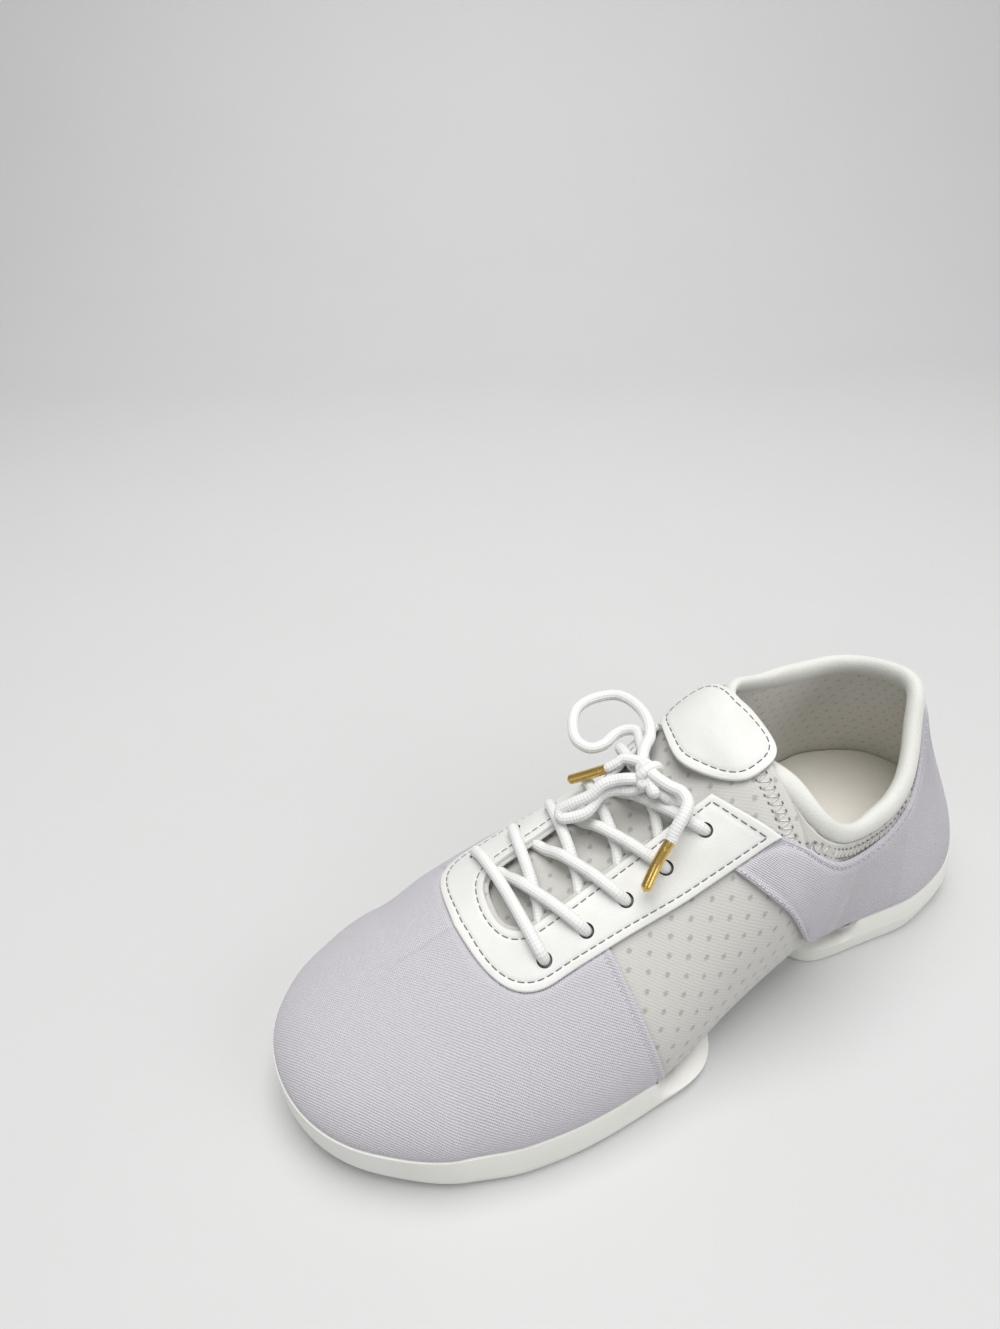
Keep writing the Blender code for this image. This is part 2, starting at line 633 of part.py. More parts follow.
def heel_sole():
    """Heel rubber: a cup with a stepped side, a tab at the back and a rounded front end."""
    corner = float(side_way(HEEL_SOLE_SHOULDER, 1))
    ways = np.concatenate([np.linspace(0.04, 1, 12, endpoint=False), np.linspace(1, corner, 9)])
    front, shoulder = HEEL_SOLE_FRONT * LENGTH, (HEEL_SOLE_SHOULDER + 0.012) * LENGTH
    half_left = plan_of(ways)[-1, 1]
    half_right = -plan_of(6 - ways)[-1, 1]
    ends = (end_arc(shoulder, front, half_left, 7)[::-1], end_arc(shoulder, front, half_right, 7)[::-1] * (1, -1))
    loop, dirs = sole_loop(ways, ends)
    rise = np.concatenate([smooth_step((corner - ways) / 0.10), np.zeros(7)])
    rise = np.concatenate([rise, rise[::-1]])
    full = np.concatenate([ways, np.full(7, corner)])
    all_ways = np.concatenate([full, 6 - full[::-1]])
    z_bed = bed(loop[:, 0])
    z_rim = z_bed - BED_CLEAR + rise * (heel_rim_height(all_ways) - z_bed + BED_CLEAR)
    out_rim = rim_out(all_ways, z_rim)
    levels = rubber_levels(0 * z_bed, z_bed, z_rim, out_rim, HEEL_FLARE, HEEL_STEP)
    return stack(loop, dirs, levels)


def upper_stations():
    """Ways of the upper's sections, the same places on both sides."""
    alongs = np.array([
        HEEL_AXIS, 0.225, 0.26, HEEL_OPENING_END, 0.32, 0.345, 0.362, 0.370, NECK, 0.39, 0.41,
        WINDOW_REAR, 0.434, 0.442, 0.46, 0.49, 0.52, FORE_OPENING_END, 0.59, 0.63, 0.67, 0.70,
        0.722, 0.736, WINDOW_FRONT, 0.765, 0.797])
    lateral = side_way(alongs, 1)
    medial = side_way(alongs, -1)[::-1]
    heel = np.linspace(0, 1, 7, endpoint=False)
    toe = np.linspace(2, 4, 15)
    return np.concatenate([heel, lateral, toe, medial, 6 - heel[:0:-1]])


def lasting_edge(ways):
    """Inner edge of the upper's turned-in margin; at the arch it closes on the centre line."""
    along, _ = axis_of(ways)
    out = foot_out(ways)
    heel = np.clip((HEEL_OPENING_END - along) / 0.07, 0, 1)
    fore = np.clip((along - FORE_OPENING_END) / 0.10, 0, 1)
    return (out - LASTING_MARGIN) * np.sqrt(np.maximum(heel, fore))


def upper(surface):
    """Hollow upper: one sheet from the lasting margin round the foot corner to the top."""
    ways = upper_stations()
    axis, turn = axis_of(ways)
    foot = foot_out(ways)
    low = []
    for out, up in [(lasting_edge(ways), 0)] + [
            (foot - CORNER * (1 - np.sin(a)), CORNER * (1 - np.cos(a))) for a in np.radians([0, 30, 60])]:
        x = axis * LENGTH + out * np.cos(turn)
        low.append(np.stack([x, out * np.sin(turn), bed(x) + up], -1))
    top = t_at_girth(ways, np.where(axis >= NECK, window_girth(axis), 0))
    waist = 42 * MM + (0.5 * length_at(ways, 1) - 42 * MM) * smooth_step((axis - 0.55) / 0.2)
    base = t_from_foot(ways, waist)[:, None]
    below = np.array([0, 0.18, 0.36, 0.54, 0.77])
    above = np.array([0, 0.22, 0.44, 0.66, 0.86, 1])
    ways = ways[:, None]
    ts = np.concatenate([between(ways, 0, base, below), between(ways, base, top[:, None], above)], axis=1)
    grid = np.concatenate([np.stack(low, axis=1), outer(ways + 0 * ts, ts)], axis=1)
    return sheet("upper", grid, WALL, surface, wrap=True, outward=False)


def insole(surface):
    """Footbed sheet with a side that follows the wall's inner corner."""
    ways = np.concatenate([np.linspace(0.04, 1, 9, endpoint=False), np.linspace(1, 2, 20, endpoint=False),
                           np.linspace(2, 2.97, 10)])
    loop = np.concatenate([plan_of(ways), plan_of(6 - ways)[::-1]])
    axis, turn = axis_of(np.concatenate([ways, 6 - ways[::-1]]))
    dirs = np.stack([np.cos(turn), np.sin(turn)], -1)
    under = WALL + FIT
    levels = [
        (-CORNER - FIT, under, True),
        (-WALL - 0.45 * CORNER, under + 0.35 * INSOLE_THICK, True),
        (-WALL - 0.22 * CORNER, under + INSOLE_THICK, True),
    ]
    return stacked("insole", stack(loop, dirs, levels), surface)


def tongue(surface):
    """Throat panel under the lacing: sunk in the middle, its margins up under the upper."""
    alongs = np.linspace(TONGUE_REAR, TONGUE_FRONT, 19)
    shares = np.linspace(-1, 1, 13)
    along = alongs[:, None] + 0 * shares
    girth = TONGUE_HALF * shares + 0 * along
    clear = window_girth(along)
    sunk = smooth_step((clear - np.abs(girth)) / (7 * MM) + 0.2) * smooth_step((clear - 8 * MM) / (12 * MM))
    lift = -(WALL + 1.0 * MM + TONGUE_SINK * sunk)
    grid = instep(along, girth, lift)[:, ::-1]
    return sheet("tongue", grid, TONGUE_THICK, surface, outward=False)


def eyestay_edge(inner, count):
    """Share along and girth of an edge of the U-shaped eyestay, lateral end to medial end."""
    angle = np.linspace(0, pi, count)
    straight = np.linspace(0, 1, 14, endpoint=False)
    if inner:
        side = np.cos(angle)
        start = STAY_INNER_FRONT - 0.045
        arc_x = start + (STAY_INNER_FRONT - start) * np.abs(np.sin(angle)) ** 0.77
        arc_g = STAY_INNER * np.sign(side) * np.abs(side) ** 0.77
        left_x = STAY_INNER_REAR + (start - STAY_INNER_REAR) * straight
        left_g = STAY_INNER + STAY_INNER_FLARE * (1 - straight) ** 3.5
    else:
        arc_x, arc_g = stay_front(angle, 0)
        left_x = STAY_REAR + (STAY_BEND - STAY_REAR) * straight
        left_g = stay_girth(left_x)
    x = np.concatenate([left_x, arc_x, left_x[::-1]])
    g = np.concatenate([left_g, arc_g, -left_g[::-1]])
    return x, g


def eyestay(surface):
    """Leather eyestay on the instep, a U round the throat, before its holes are cut."""
    count = 19
    x_in, g_in = eyestay_edge(True, count)
    x_out, g_out = eyestay_edge(False, count)
    shares = np.linspace(0, 1, 5)
    along = x_in[:, None] + (x_out - x_in)[:, None] * shares
    girth = g_in[:, None] + (g_out - g_in)[:, None] * shares
    grid = instep(along, girth, LIFT)[:, ::-1]
    return sheet("eyestay", grid, LEATHER, surface)


def eyelet_places():
    """Share along and girth of each eyelet, front to rear, lateral then medial."""
    alongs = np.linspace(FIRST_EYELET, LAST_EYELET, EYELETS_PER_SIDE)
    lateral = [(x - 0.008, EYELET_ROW) for x in alongs]
    medial = [(x + 0.010, -EYELET_ROW) for x in alongs]
    return lateral, medial


def eyelet_cutter():
    """One guide with a pin through each eyelet, along the surface's own direction."""
    lateral, medial = eyelet_places()
    sides = 12
    points = []
    faces = []
    for x, g in lateral + medial:
        centre = instep(x, g, 0.0)
        n = instep(x, g, 1.0) - centre
        n = n / np.linalg.norm(n)
        u = np.cross(n, (0, 1, 0))
        u = u / np.linalg.norm(u)
        v = np.cross(n, u)
        base = len(points)
        for height in (-3 * MM, LEATHER + 3 * MM):
            for k in range(sides):
                a = 2 * pi * k / sides
                points.append(centre + n * height + EYELET_RADIUS * (u * np.cos(a) + v * np.sin(a)))
        for k in range(sides):
            m = (k + 1) % sides
            faces.append((base + k, base + m, base + sides + m, base + sides + k))
        faces.append(tuple(base + k for k in range(sides))[::-1])
        faces.append(tuple(base + sides + k for k in range(sides)))
    mesh = bpy.data.meshes.new("eyelet_guide")
    mesh.from_pydata([tuple(p) for p in np.array(points) - ORIGIN], [], faces)
    work = bmesh.new()
    work.from_mesh(mesh)
    bmesh.ops.recalc_face_normals(work, faces=work.faces)
    work.to_mesh(mesh)
    work.free()
    guide = bpy.data.objects.new("eyelet_guide", mesh)
    guide.hide_render = True
    guide.display_type = "WIRE"
    bpy.context.scene.collection.objects.link(guide)
    return guide


def cut(piece, guide):
    """Boolean difference kept live on the piece."""
    hole = piece.modifiers.new("holes", "BOOLEAN")
    hole.operation = "DIFFERENCE"
    hole.object = guide
    hole.solver = "EXACT"


def throat_cutter():
    """Thick cap over the throat out to just past the eyestay's edge, to cut the toe canvas."""
    grow = 1.2 * MM
    angle = np.radians([0, 10, 22, 34, 44, 52, 60, 68, 76, 84, 89])
    behind = np.linspace(VAMP_SEAM_TOP - 0.03, STAY_BEND, 4, endpoint=False)
    half = stay_girth(behind) + grow
    lateral = stay_front(angle, grow)
    medial = stay_front(pi - angle, grow)
    left = np.concatenate([behind, lateral[0]]), np.concatenate([half, lateral[1]])
    right = np.concatenate([behind, medial[0]]), np.concatenate([-half, medial[1]])
    share = np.linspace(0, 1, 15)
    along = right[0][:, None] + (left[0] - right[0])[:, None] * share
    girth = right[1][:, None] + (left[1] - right[1])[:, None] * share
    guide = sheet("throat_guide", instep(along, girth, -1.2 * MM)[:, ::-1], 5 * MM, finish("guide", (0.5, 0.5, 0.5), 1))
    guide.hide_render = True
    guide.display_type = "WIRE"
    return guide


def toe_vamp(surface):
    """Canvas over the toe from the side seams, a cap that the throat's shape is cut out of."""
    columns = np.array([0, 0.16, 0.32, 0.47, 0.60, 0.72, 0.82, 0.91, 1])
    seam = VAMP_SEAM_LOW + (VAMP_SEAM_TOP - VAMP_SEAM_LOW) * columns ** 0.65
    share = np.linspace(0, 1, 8, endpoint=False)[:, None]
    axis = seam + (TOE_AXIS - seam) * share
    toe_ways = np.linspace(2, 4, 17)[:, None] + 0 * columns
    way = np.concatenate([side_way(axis, 1), toe_ways, side_way(axis, -1)[::-1]])
    rim = bed(outer(way, 0 * way)[..., 0]) + FORE_RIM - FORE_BED + FIT
    low = t_at_height(way, rim)
    grid = skin(way, between(way, low, 1 + 0 * low, columns), LIFT)
    return sheet("toe_vamp", grid, CANVAS, surface, close=0.25 * MM)


def heel_quarter(surface):
    """Canvas round the heel, from the side seams to the collar band."""
    columns = np.array([0, 0.12, 0.24, 0.36, 0.48, 0.60, 0.72, 0.86, 1])
    seam = QUARTER_SEAM_LOW + (QUARTER_SEAM_TOP - QUARTER_SEAM_LOW) * columns ** 0.85
    root = 0.300
    top_row = np.array([0.32, 0.345, 0.362, 0.370, 0.375, 0.387, 0.40, 0.425, 0.445, QUARTER_SEAM_TOP])
    fan = (top_row - root) / (QUARTER_SEAM_TOP - root)
    heel = np.concatenate([np.linspace(0, 1, 7, endpoint=False), side_way([HEEL_AXIS, 0.225, 0.26, root], 1)])
    front = side_way(root + (seam - root) * fan[:, None], 1)
    left = np.concatenate([heel[:, None] + 0 * columns, front])
    way = np.concatenate([6 - left[:0:-1], left])
    axis, turn = axis_of(way)
    ways = [row_way(row[0], row[1]) for row in CANVAS_ROWS]
    seam_up = around(ways, [row[2] * COLLAR_HEIGHT for row in CANVAS_ROWS], np.mod(way, 6))
    by_height = t_at_height(way, seam_up)
    by_stay = t_at_girth(way, stay_girth(axis) + 2.5 * FIT)
    top = np.where(axis > STAY_REAR - 0.020, np.minimum(by_height, by_stay), by_height)
    rim = heel_rim_height(np.mod(way, 6)) + FIT
    fade = smooth_step((HEEL_SOLE_SHOULDER + 0.03 - axis) / 0.04)
    low = t_at_height(way, rim) * fade + 0.015 * (1 - fade)
    grid = skin(way, between(way, low, top, columns), 1.4 * LIFT)
    return sheet("heel_quarter", grid, CANVAS, surface)


def collar_roll(surface):
    """Rolled binding on the collar's edge, open at the front where the patch closes it."""
    start = float(side_way(0.3705, 1))
    end = float(side_way(0.3660, -1))
    ways = np.concatenate([np.linspace(start, 1.27, 9, endpoint=False), np.linspace(1.27, 1, 6, endpoint=False),
                           np.linspace(1, -1, 24), np.linspace(-1, end - 6, 15)[1:]])
    edge = outer(ways, 1 + 0 * ways)
    n = normal(ways, 1 + 0 * ways)
    tangent = np.gradient(edge, axis=0)
    tangent = tangent / np.linalg.norm(tangent, axis=1, keepdims=True)
    up = np.cross(n, tangent)
    up = up / np.linalg.norm(up, axis=1, keepdims=True)
    up = up * np.sign(up[:, 2:3] + 0.3 * np.abs(up[:, 2:3]))
    centre = edge + up * (ROLL_RADIUS + GAP) - n * (0.9 * WALL)
    side = np.cross(tangent, up)
    side = side / np.linalg.norm(side, axis=1, keepdims=True)
    rise = np.cross(side, tangent)
    sides = 10
    angle = 2 * pi * np.arange(sides) / sides
    ring = side[:, None] * np.cos(angle)[:, None] + rise[:, None] * np.sin(angle)[:, None]
    grid = centre[:, None] + ROLL_RADIUS * ring
    count = len(ways)
    faces = []
    for i in range(count - 1):
        for k in range(sides):
            m = (k + 1) % sides
            faces.append((i * sides + k, i * sides + m, (i + 1) * sides + m, (i + 1) * sides + k))
    faces.append(tuple(range(sides))[::-1])
    faces.append(tuple((count - 1) * sides + k for k in range(sides)))
    return new_object("collar_binding", outward_mesh("collar_binding", grid, faces), surface)


def tongue_patch(surface):
    """Leather patch on the instep at the collar's front, a hexagon with soft corners."""
    shares = np.linspace(0, 1, 9)
    across = np.linspace(-1, 1, 11)
    width = 0.5 * PATCH_WIDTH * np.interp(shares, [0, 0.15, 0.5, 0.8, 0.93, 1], [0.93, 1, 0.98, 0.66, 0.42, 0.16])
    middle = -0.055 * BALL_WIDTH * (1 - shares) - 0.01 * BALL_WIDTH
    along = (NECK + 0.004) + PATCH_LENGTH / LENGTH * shares[:, None] + 0 * across
    girth = middle[:, None] + width[:, None] * across
    grid = instep(along, girth, LIFT)[:, ::-1]
    return sheet("tongue_patch", grid, LEATHER, surface)


def heel_stud(surface):
    """Plain domed metal stud on the heel's back, flat against the canvas."""
    way = 0.0
    t = float(t_at_height(way, 34 * MM))
    centre = skin(way, t, LIFT + CANVAS + FIT)
    out = normal(way, t)
    up = np.array([0, 0, 1]) - out * out[2]
    up = up / np.linalg.norm(up)
    side = np.cross(up, out)
    sides = 14
    angle = 2 * pi * np.arange(sides) / sides
    rim = np.stack([0.5 * STUD_WIDTH * np.cos(angle), 0.5 * STUD_HEIGHT * np.sin(angle)], -1)
    points = []
    for size, height in ((1, 0), (1, 0.35), (0.86, 0.75), (0.5, 0.97)):
        for a, b in rim:
            points.append(centre + side * a * size + up * b * size + out * STUD_DEPTH * height)
    points.append(centre + out * STUD_DEPTH)
    faces = [tuple(range(sides))]
    for level in range(3):
        for k in range(sides):
            m = (k + 1) % sides
            faces.append((level * sides + k, level * sides + m, (level + 1) * sides + m,
                          (level + 1) * sides + k))
    for k in range(sides):
        faces.append((3 * sides + k, 3 * sides + (k + 1) % sides, 4 * sides))
    return new_object("heel_stud", outward_mesh("heel_stud", points, faces), surface)


def curve_through(points, spacing):
    """Points at an even spacing on a smooth curve through the route's own points."""
    points = np.asarray(points, float)
    ends = np.concatenate([[2 * points[0] - points[1]], points, [2 * points[-1] - points[-2]]])
    fine = []
    for a, b, c, d in zip(ends[:-3], ends[1:-2], ends[2:-1], ends[3:]):
        t = np.linspace(0, 1, 12, endpoint=False)[:, None]
        fine.append(0.5 * (2 * b + (c - a) * t + (2 * a - 5 * b + 4 * c - d) * t ** 2
                           + (3 * b - a - 3 * c + d) * t ** 3))
    fine = np.concatenate(fine + [points[-1:]])
    run = np.concatenate([[0], np.cumsum(np.linalg.norm(np.diff(fine, axis=0), axis=1))])
    stops = np.linspace(0, run[-1], max(2, int(round(run[-1] / spacing)) + 1))
    return np.stack([np.interp(stops, run, fine[:, k]) for k in range(3)], -1)


def rope(name, route, radius, spacing, surface):
    """Round lace along a route, as a curve with a round bevel and closed ends."""
    curve = bpy.data.curves.new(name, "CURVE")
    curve.dimensions = "3D"
    curve.bevel_depth = radius
    curve.bevel_resolution = 2
    curve.use_fill_caps = True
    spline = curve.splines.new("POLY")
    points = curve_through(route, spacing) - ORIGIN
    spline.points.add(len(points) - 1)
    for place, p in zip(spline.points, points):
        place.co = (*p, 1)
    curve.materials.append(surface)
    piece = bpy.data.objects.new(name, curve)
    bpy.context.scene.collection.objects.link(piece)
    return piece


def tube_mesh(name, centre, radius, sides=8):
    """Closed tube round a line of points."""
    tangent = np.gradient(centre, axis=0)
    tangent = tangent / np.linalg.norm(tangent, axis=1, keepdims=True)
    side = np.cross(tangent, (0, 0, 1.0))
    side = side / np.linalg.norm(side, axis=1, keepdims=True)
    rise = np.cross(side, tangent)
    angle = 2 * pi * (np.arange(sides) + 0.5) / sides
    ring = side[:, None] * np.cos(angle)[:, None] + rise[:, None] * np.sin(angle)[:, None]
    count = len(centre)
    faces = []
    for i in range(count - 1):
        for k in range(sides):
            m = (k + 1) % sides
            faces.append((i * sides + k, i * sides + m, (i + 1) * sides + m, (i + 1) * sides + k))
    faces.append(tuple(range(sides))[::-1])
    faces.append(tuple((count - 1) * sides + k for k in range(sides)))
    return outward_mesh(name, centre[:, None] + radius * ring, faces)


def strand(start, end, raised):
    """Line of one lace strand: from under the eyestay's edge, over the throat and the other
    edge to above the next eyelet."""
    hand = 1 if start[1] > 0 else -1
    over = LIFT + LEATHER + GAP + LACE_RADIUS
    steps = ((7.0, -0.9), (4.0, -0.3 + 0.5 * raised), (0.0, 1.0 + raised), (-4.0, 2.2 + 0.5 * raised),
             (-7.5, 3.4), (-10.5, over / MM + 0.1), (-16.0, over / MM + 0.2), (-abs(end[1]) / MM, over / MM))
    points = []
    for girth, lift in steps:
        share = (7.0 - girth) / (7.0 + abs(end[1]) / MM)
        x = start[0] + (end[0] - start[0]) * share
        points.append(instep(x, hand * girth * MM, lift * MM))
    return np.array(points)


def lace_crosses(surface):
    """Crossings of the lace: two strands joined, the one to the lateral eyelet on top."""
    lateral, medial = eyelet_places()
    for k in range(EYELETS_PER_SIDE - 1):
        name = "lace_cross_%d" % (k + 1)
        to_medial = strand((lateral[k][0] - 0.016, lateral[k][1]), medial[k + 1], 0.0)
        to_lateral = strand((medial[k][0] - 0.016, medial[k][1]), lateral[k + 1], 1.4)
        piece = new_object(name, tube_mesh(name, to_lateral, LACE_RADIUS), surface)
        guide = bpy.data.objects.new(name + "_guide", tube_mesh(name + "_guide", to_medial, LACE_RADIUS))
        guide.hide_render = True
        guide.display_type = "WIRE"
        bpy.context.scene.collection.objects.link(guide)
        join = piece.modifiers.new("join", "BOOLEAN")
        join.operation = "UNION"
        join.object = guide
        join.solver = "EXACT"


def lace_bar(surface):
    """Straight bar of the lace between the two front eyelets."""
    lateral, medial = eyelet_places()
    over = LIFT + LEATHER + GAP + LACE_RADIUS
    girths = np.array([1, 0.72, 0.48, 0.25, 0, -0.25, -0.48, -0.72, -1])
    lifts = np.array([0, 0.2, 0.1, -0.6, -0.8, -0.6, 0.1, 0.2, 0]) * MM + over
    along = lateral[0][0] + (medial[0][0] - lateral[0][0]) * (1 - girths) / 2
    girth = np.where(girths >= 0, girths * lateral[0][1], -girths * medial[0][1])
    return new_object("lace_bar", tube_mesh("lace_bar", instep(along, girth, lifts), LACE_RADIUS), surface)


# Bow: places in millimetres from the heel's back, towards the lateral side and up
KNOT_ROUTE = ((132.8, -12.0, 81.8), (133.7, -7.0, 82.8), (134.9, -2.0, 81.6))
ROUND_LOOP = (
    (128.8, -16.9, 83.0), (125.0, -20.2, 83.4), (121.3, -27.5, 82.5), (119.6, -35.7, 81.0), (120.7, -43.1, 80.0),
    (124.1, -47.6, 79.0), (131.6, -49.3, 78.0), (138.1, -47.0, 77.5), (142.5, -41.1, 77.0), (144.7, -34.0, 77.0),
    (142.5, -28.9, 77.0), (137.6, -28.3, 77.0), (131.8, -30.9, 77.0), (127.6, -31.0, 77.6), (124.9, -28.0, 78.6))
NARROW_LOOP = (
    (139.8, -7.6, 82.0), (143.7, -9.8, 80.8), (147.4, -10.8, 79.4), (151.7, -11.0, 76.0), (156.7, -12.6, 73.0),
    (160.2, -13.8, 70.2), (160.6, -11.4, 69.0), (154.0, -8.6, 71.6), (147.7, -10.6, 75.0), (143.3, -9.3, 76.6),
    (140.0, -6.6, 77.8))
SHORT_END = ((136.6, -16.4, 81.0), (138.8, -16.8, 79.6), (141.4, -17.4, 78.0))
LONG_END = (
    (131.2, 1.6, 84.0), (129.0, 4.6, 83.6), (129.2, 8.4, 83.0), (131.8, 10.9, 81.4), (134.7, 12.4, 78.9), (136.8, 13.4, 76.4))
SHORT_AGLET = ((142.0, -17.7, 77.6), (147.0, -20.5, 74.4), (152.8, -23.6, 71.0))
LONG_AGLET = ((137.3, 13.8, 75.8), (143.0, 16.4, 71.2), (149.7, 20.8, 66.4))


def bow(lace, metal):
    """Knot, two loops and two ends of the lace, with a metal aglet on each end."""
    wide = 2 * LACE_RADIUS
    rope("knot", np.array(KNOT_ROUTE) * MM, 1.45 * LACE_RADIUS, 2 * wide, lace)
    rope("loop_round", np.array(ROUND_LOOP) * MM, LACE_RADIUS, 1.4 * wide, lace)
    rope("loop_narrow", np.array(NARROW_LOOP) * MM, LACE_RADIUS, 1.4 * wide, lace)
    rope("end_short", np.array(SHORT_END) * MM, LACE_RADIUS, 1.4 * wide, lace)
    rope("end_long", np.array(LONG_END) * MM, LACE_RADIUS, 1.4 * wide, lace)
    for name, route in (("aglet_short", SHORT_AGLET), ("aglet_long", LONG_AGLET)):
        line = curve_through(np.array(route) * MM, 8 * MM)
        new_object(name, tube_mesh(name, line, 0.85 * LACE_RADIUS), metal)


def finish(name, colour, roughness, metallic=0.0):
    """Principled material."""
    surface = bpy.data.materials.new(name)
    surface.use_nodes = True
    shader = surface.node_tree.nodes["Principled BSDF"]
    shader.inputs["Base Color"].default_value = (*colour, 1)
    shader.inputs["Roughness"].default_value = roughness
    shader.inputs["Metallic"].default_value = metallic
    return surface


def main():
    """Build every piece of the shoe."""
    for piece in list(bpy.data.objects):
        bpy.data.objects.remove(piece)
    rubber = finish("white_rubber", (0.80, 0.79, 0.75), 0.5)
    knit = finish("dimpled_knit", (0.72, 0.72, 0.69), 0.9)
    canvas = finish("lavender_canvas", (0.62, 0.60, 0.68), 0.85)
    leather = finish("white_leather", (0.88, 0.88, 0.86), 0.4)
    foam = finish("cream_insole", (0.74, 0.72, 0.65), 0.9)
    gold = finish("gold_metal", (0.75, 0.52, 0.16), 0.25, 1.0)
    cord = finish("white_lace", (0.86, 0.86, 0.84), 0.8)
    fore, heel = fore_sole(), heel_sole()
    both = np.concatenate([fore.reshape(-1, 3), heel.reshape(-1, 3)])
    ORIGIN[:2] = 0.5 * (both.min(axis=0) + both.max(axis=0))[:2]
    stacked("outsole_forefoot", fore, rubber)
    stacked("outsole_heel", heel, rubber)
    upper(knit)
    insole(foam)
    tongue(knit)
    stay = eyestay(leather)
    cut(stay, eyelet_cutter())
    cut(toe_vamp(canvas), throat_cutter())
    heel_quarter(canvas)
    collar_roll(knit)
    tongue_patch(leather)
    heel_stud(gold)
    lace_bar(cord)
    lace_crosses(cord)
    bow(cord, gold)


main()
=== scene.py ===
"""Looks of a left dance sneaker: knit upper, lavender canvas, leather eyestay, laced and tied.

Frame: +X towards the toe, +Y towards the outer (lateral) side, +Z up, floor at Z = 0.
Place round the shoe is one number, the way: 0 heel back, 1 to 2 along the lateral side,
3 toe tip, 4 to 5 back along the medial side, 6 heel back again.  A section at a way is one
cubic curve from the foot of the wall (t = 0) to the collar's edge or the instep's ridge
(t = 1).  The form is worked out from the heel's back and moved by ORIGIN into the frame.
"""

import bpy
import bmesh
import numpy as np
from math import radians, pi
from mathutils import Matrix


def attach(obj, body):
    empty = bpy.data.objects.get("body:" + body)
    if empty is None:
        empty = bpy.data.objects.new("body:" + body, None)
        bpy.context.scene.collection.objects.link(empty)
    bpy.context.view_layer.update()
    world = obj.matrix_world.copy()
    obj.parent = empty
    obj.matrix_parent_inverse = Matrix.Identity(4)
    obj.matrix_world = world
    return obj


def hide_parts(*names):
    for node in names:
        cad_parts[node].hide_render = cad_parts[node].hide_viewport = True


MM = 0.001
ORIGIN = np.array([133.3626, 6.3981, 0.0]) * MM

LENGTH = 266 * MM
BALL_WIDTH = 100 * MM
HEEL_WIDTH = 68 * MM
COLLAR_HEIGHT = 92 * MM
INSTEP_HEIGHT = 63 * MM
FORE_BED = 6 * MM
HEEL_BED = 9 * MM
ARCH_BED = 12.5 * MM
TOE_SPRING = 7 * MM
WALL = 2.0 * MM
CORNER = 6 * MM
CANVAS = 0.9 * MM
LEATHER = 1.3 * MM
GAP = 0.3 * MM
LIFT = 0.75 * MM
CUP_CLEAR = 0.8 * MM
BED_CLEAR = 0.9 * MM
ROLL_RADIUS = 4.4 * MM
LACE_RADIUS = 1.9 * MM
TIP_BORE = 1.45 * MM
STAY_INNER = 12 * MM
STAY_INNER_FLARE = 10 * MM
STAY_FRONT_OUTER = 29 * MM
STAY_REAR_OUTER = 40 * MM
EYELET_ROW = 22 * MM
EYELET_RADIUS = 2.4 * MM
INSOLE_THICK = 3 * MM
HEEL_LIFT = 17 * MM
SOLE_FLARE = 3.4 * MM
LIP = 1.1 * MM
FORE_RIM = 15 * MM
HEEL_RIM = 17 * MM
HEEL_TAB = 26 * MM
HEEL_STEP = 8.5 * MM
EDGE_ROUND = 2.0 * MM

HEEL_AXIS, TOE_AXIS, NECK, SPRING_START = 0.188, 0.831, 0.375, 0.70
HEEL_SOLE_FRONT, HEEL_SOLE_SHOULDER = 0.335, 0.270
FORE_SOLE_REAR, FORE_SOLE_SHOULDER = 0.490, 0.575
STAY_REAR, STAY_INNER_REAR, STAY_INNER_FRONT = 0.400, 0.425, 0.716
STAY_OUTER_FRONT, STAY_BEND = 0.760, 0.671
VAMP_SEAM_LOW, VAMP_SEAM_TOP = 0.579, 0.624
QUARTER_SEAM_LOW, QUARTER_SEAM_TOP = 0.316, 0.466
FIRST_EYELET, LAST_EYELET, EYELETS_PER_SIDE = 0.690, 0.475, 5
TOE_FALL = 19

# Knit and lining: thickness of each, depth of the lining under the knit's face
CLOTH_THICK, LINING_DEPTH = 0.9 * MM, 1.0 * MM
# Canvas: width over which it rises from the rubber's rim, distance that stands for no edge near
RIM_FADE, NO_EDGE = 3.5 * MM, 20 * MM
# Stitches: spacing, length and radius
CANVAS_STITCH = 2.7 * MM, 1.9 * MM, 0.22 * MM
LEATHER_STITCH = 3.0 * MM, 2.3 * MM, 0.24 * MM
# Distance within which the points of one mesh are merged
MERGE = 0.004 * MM

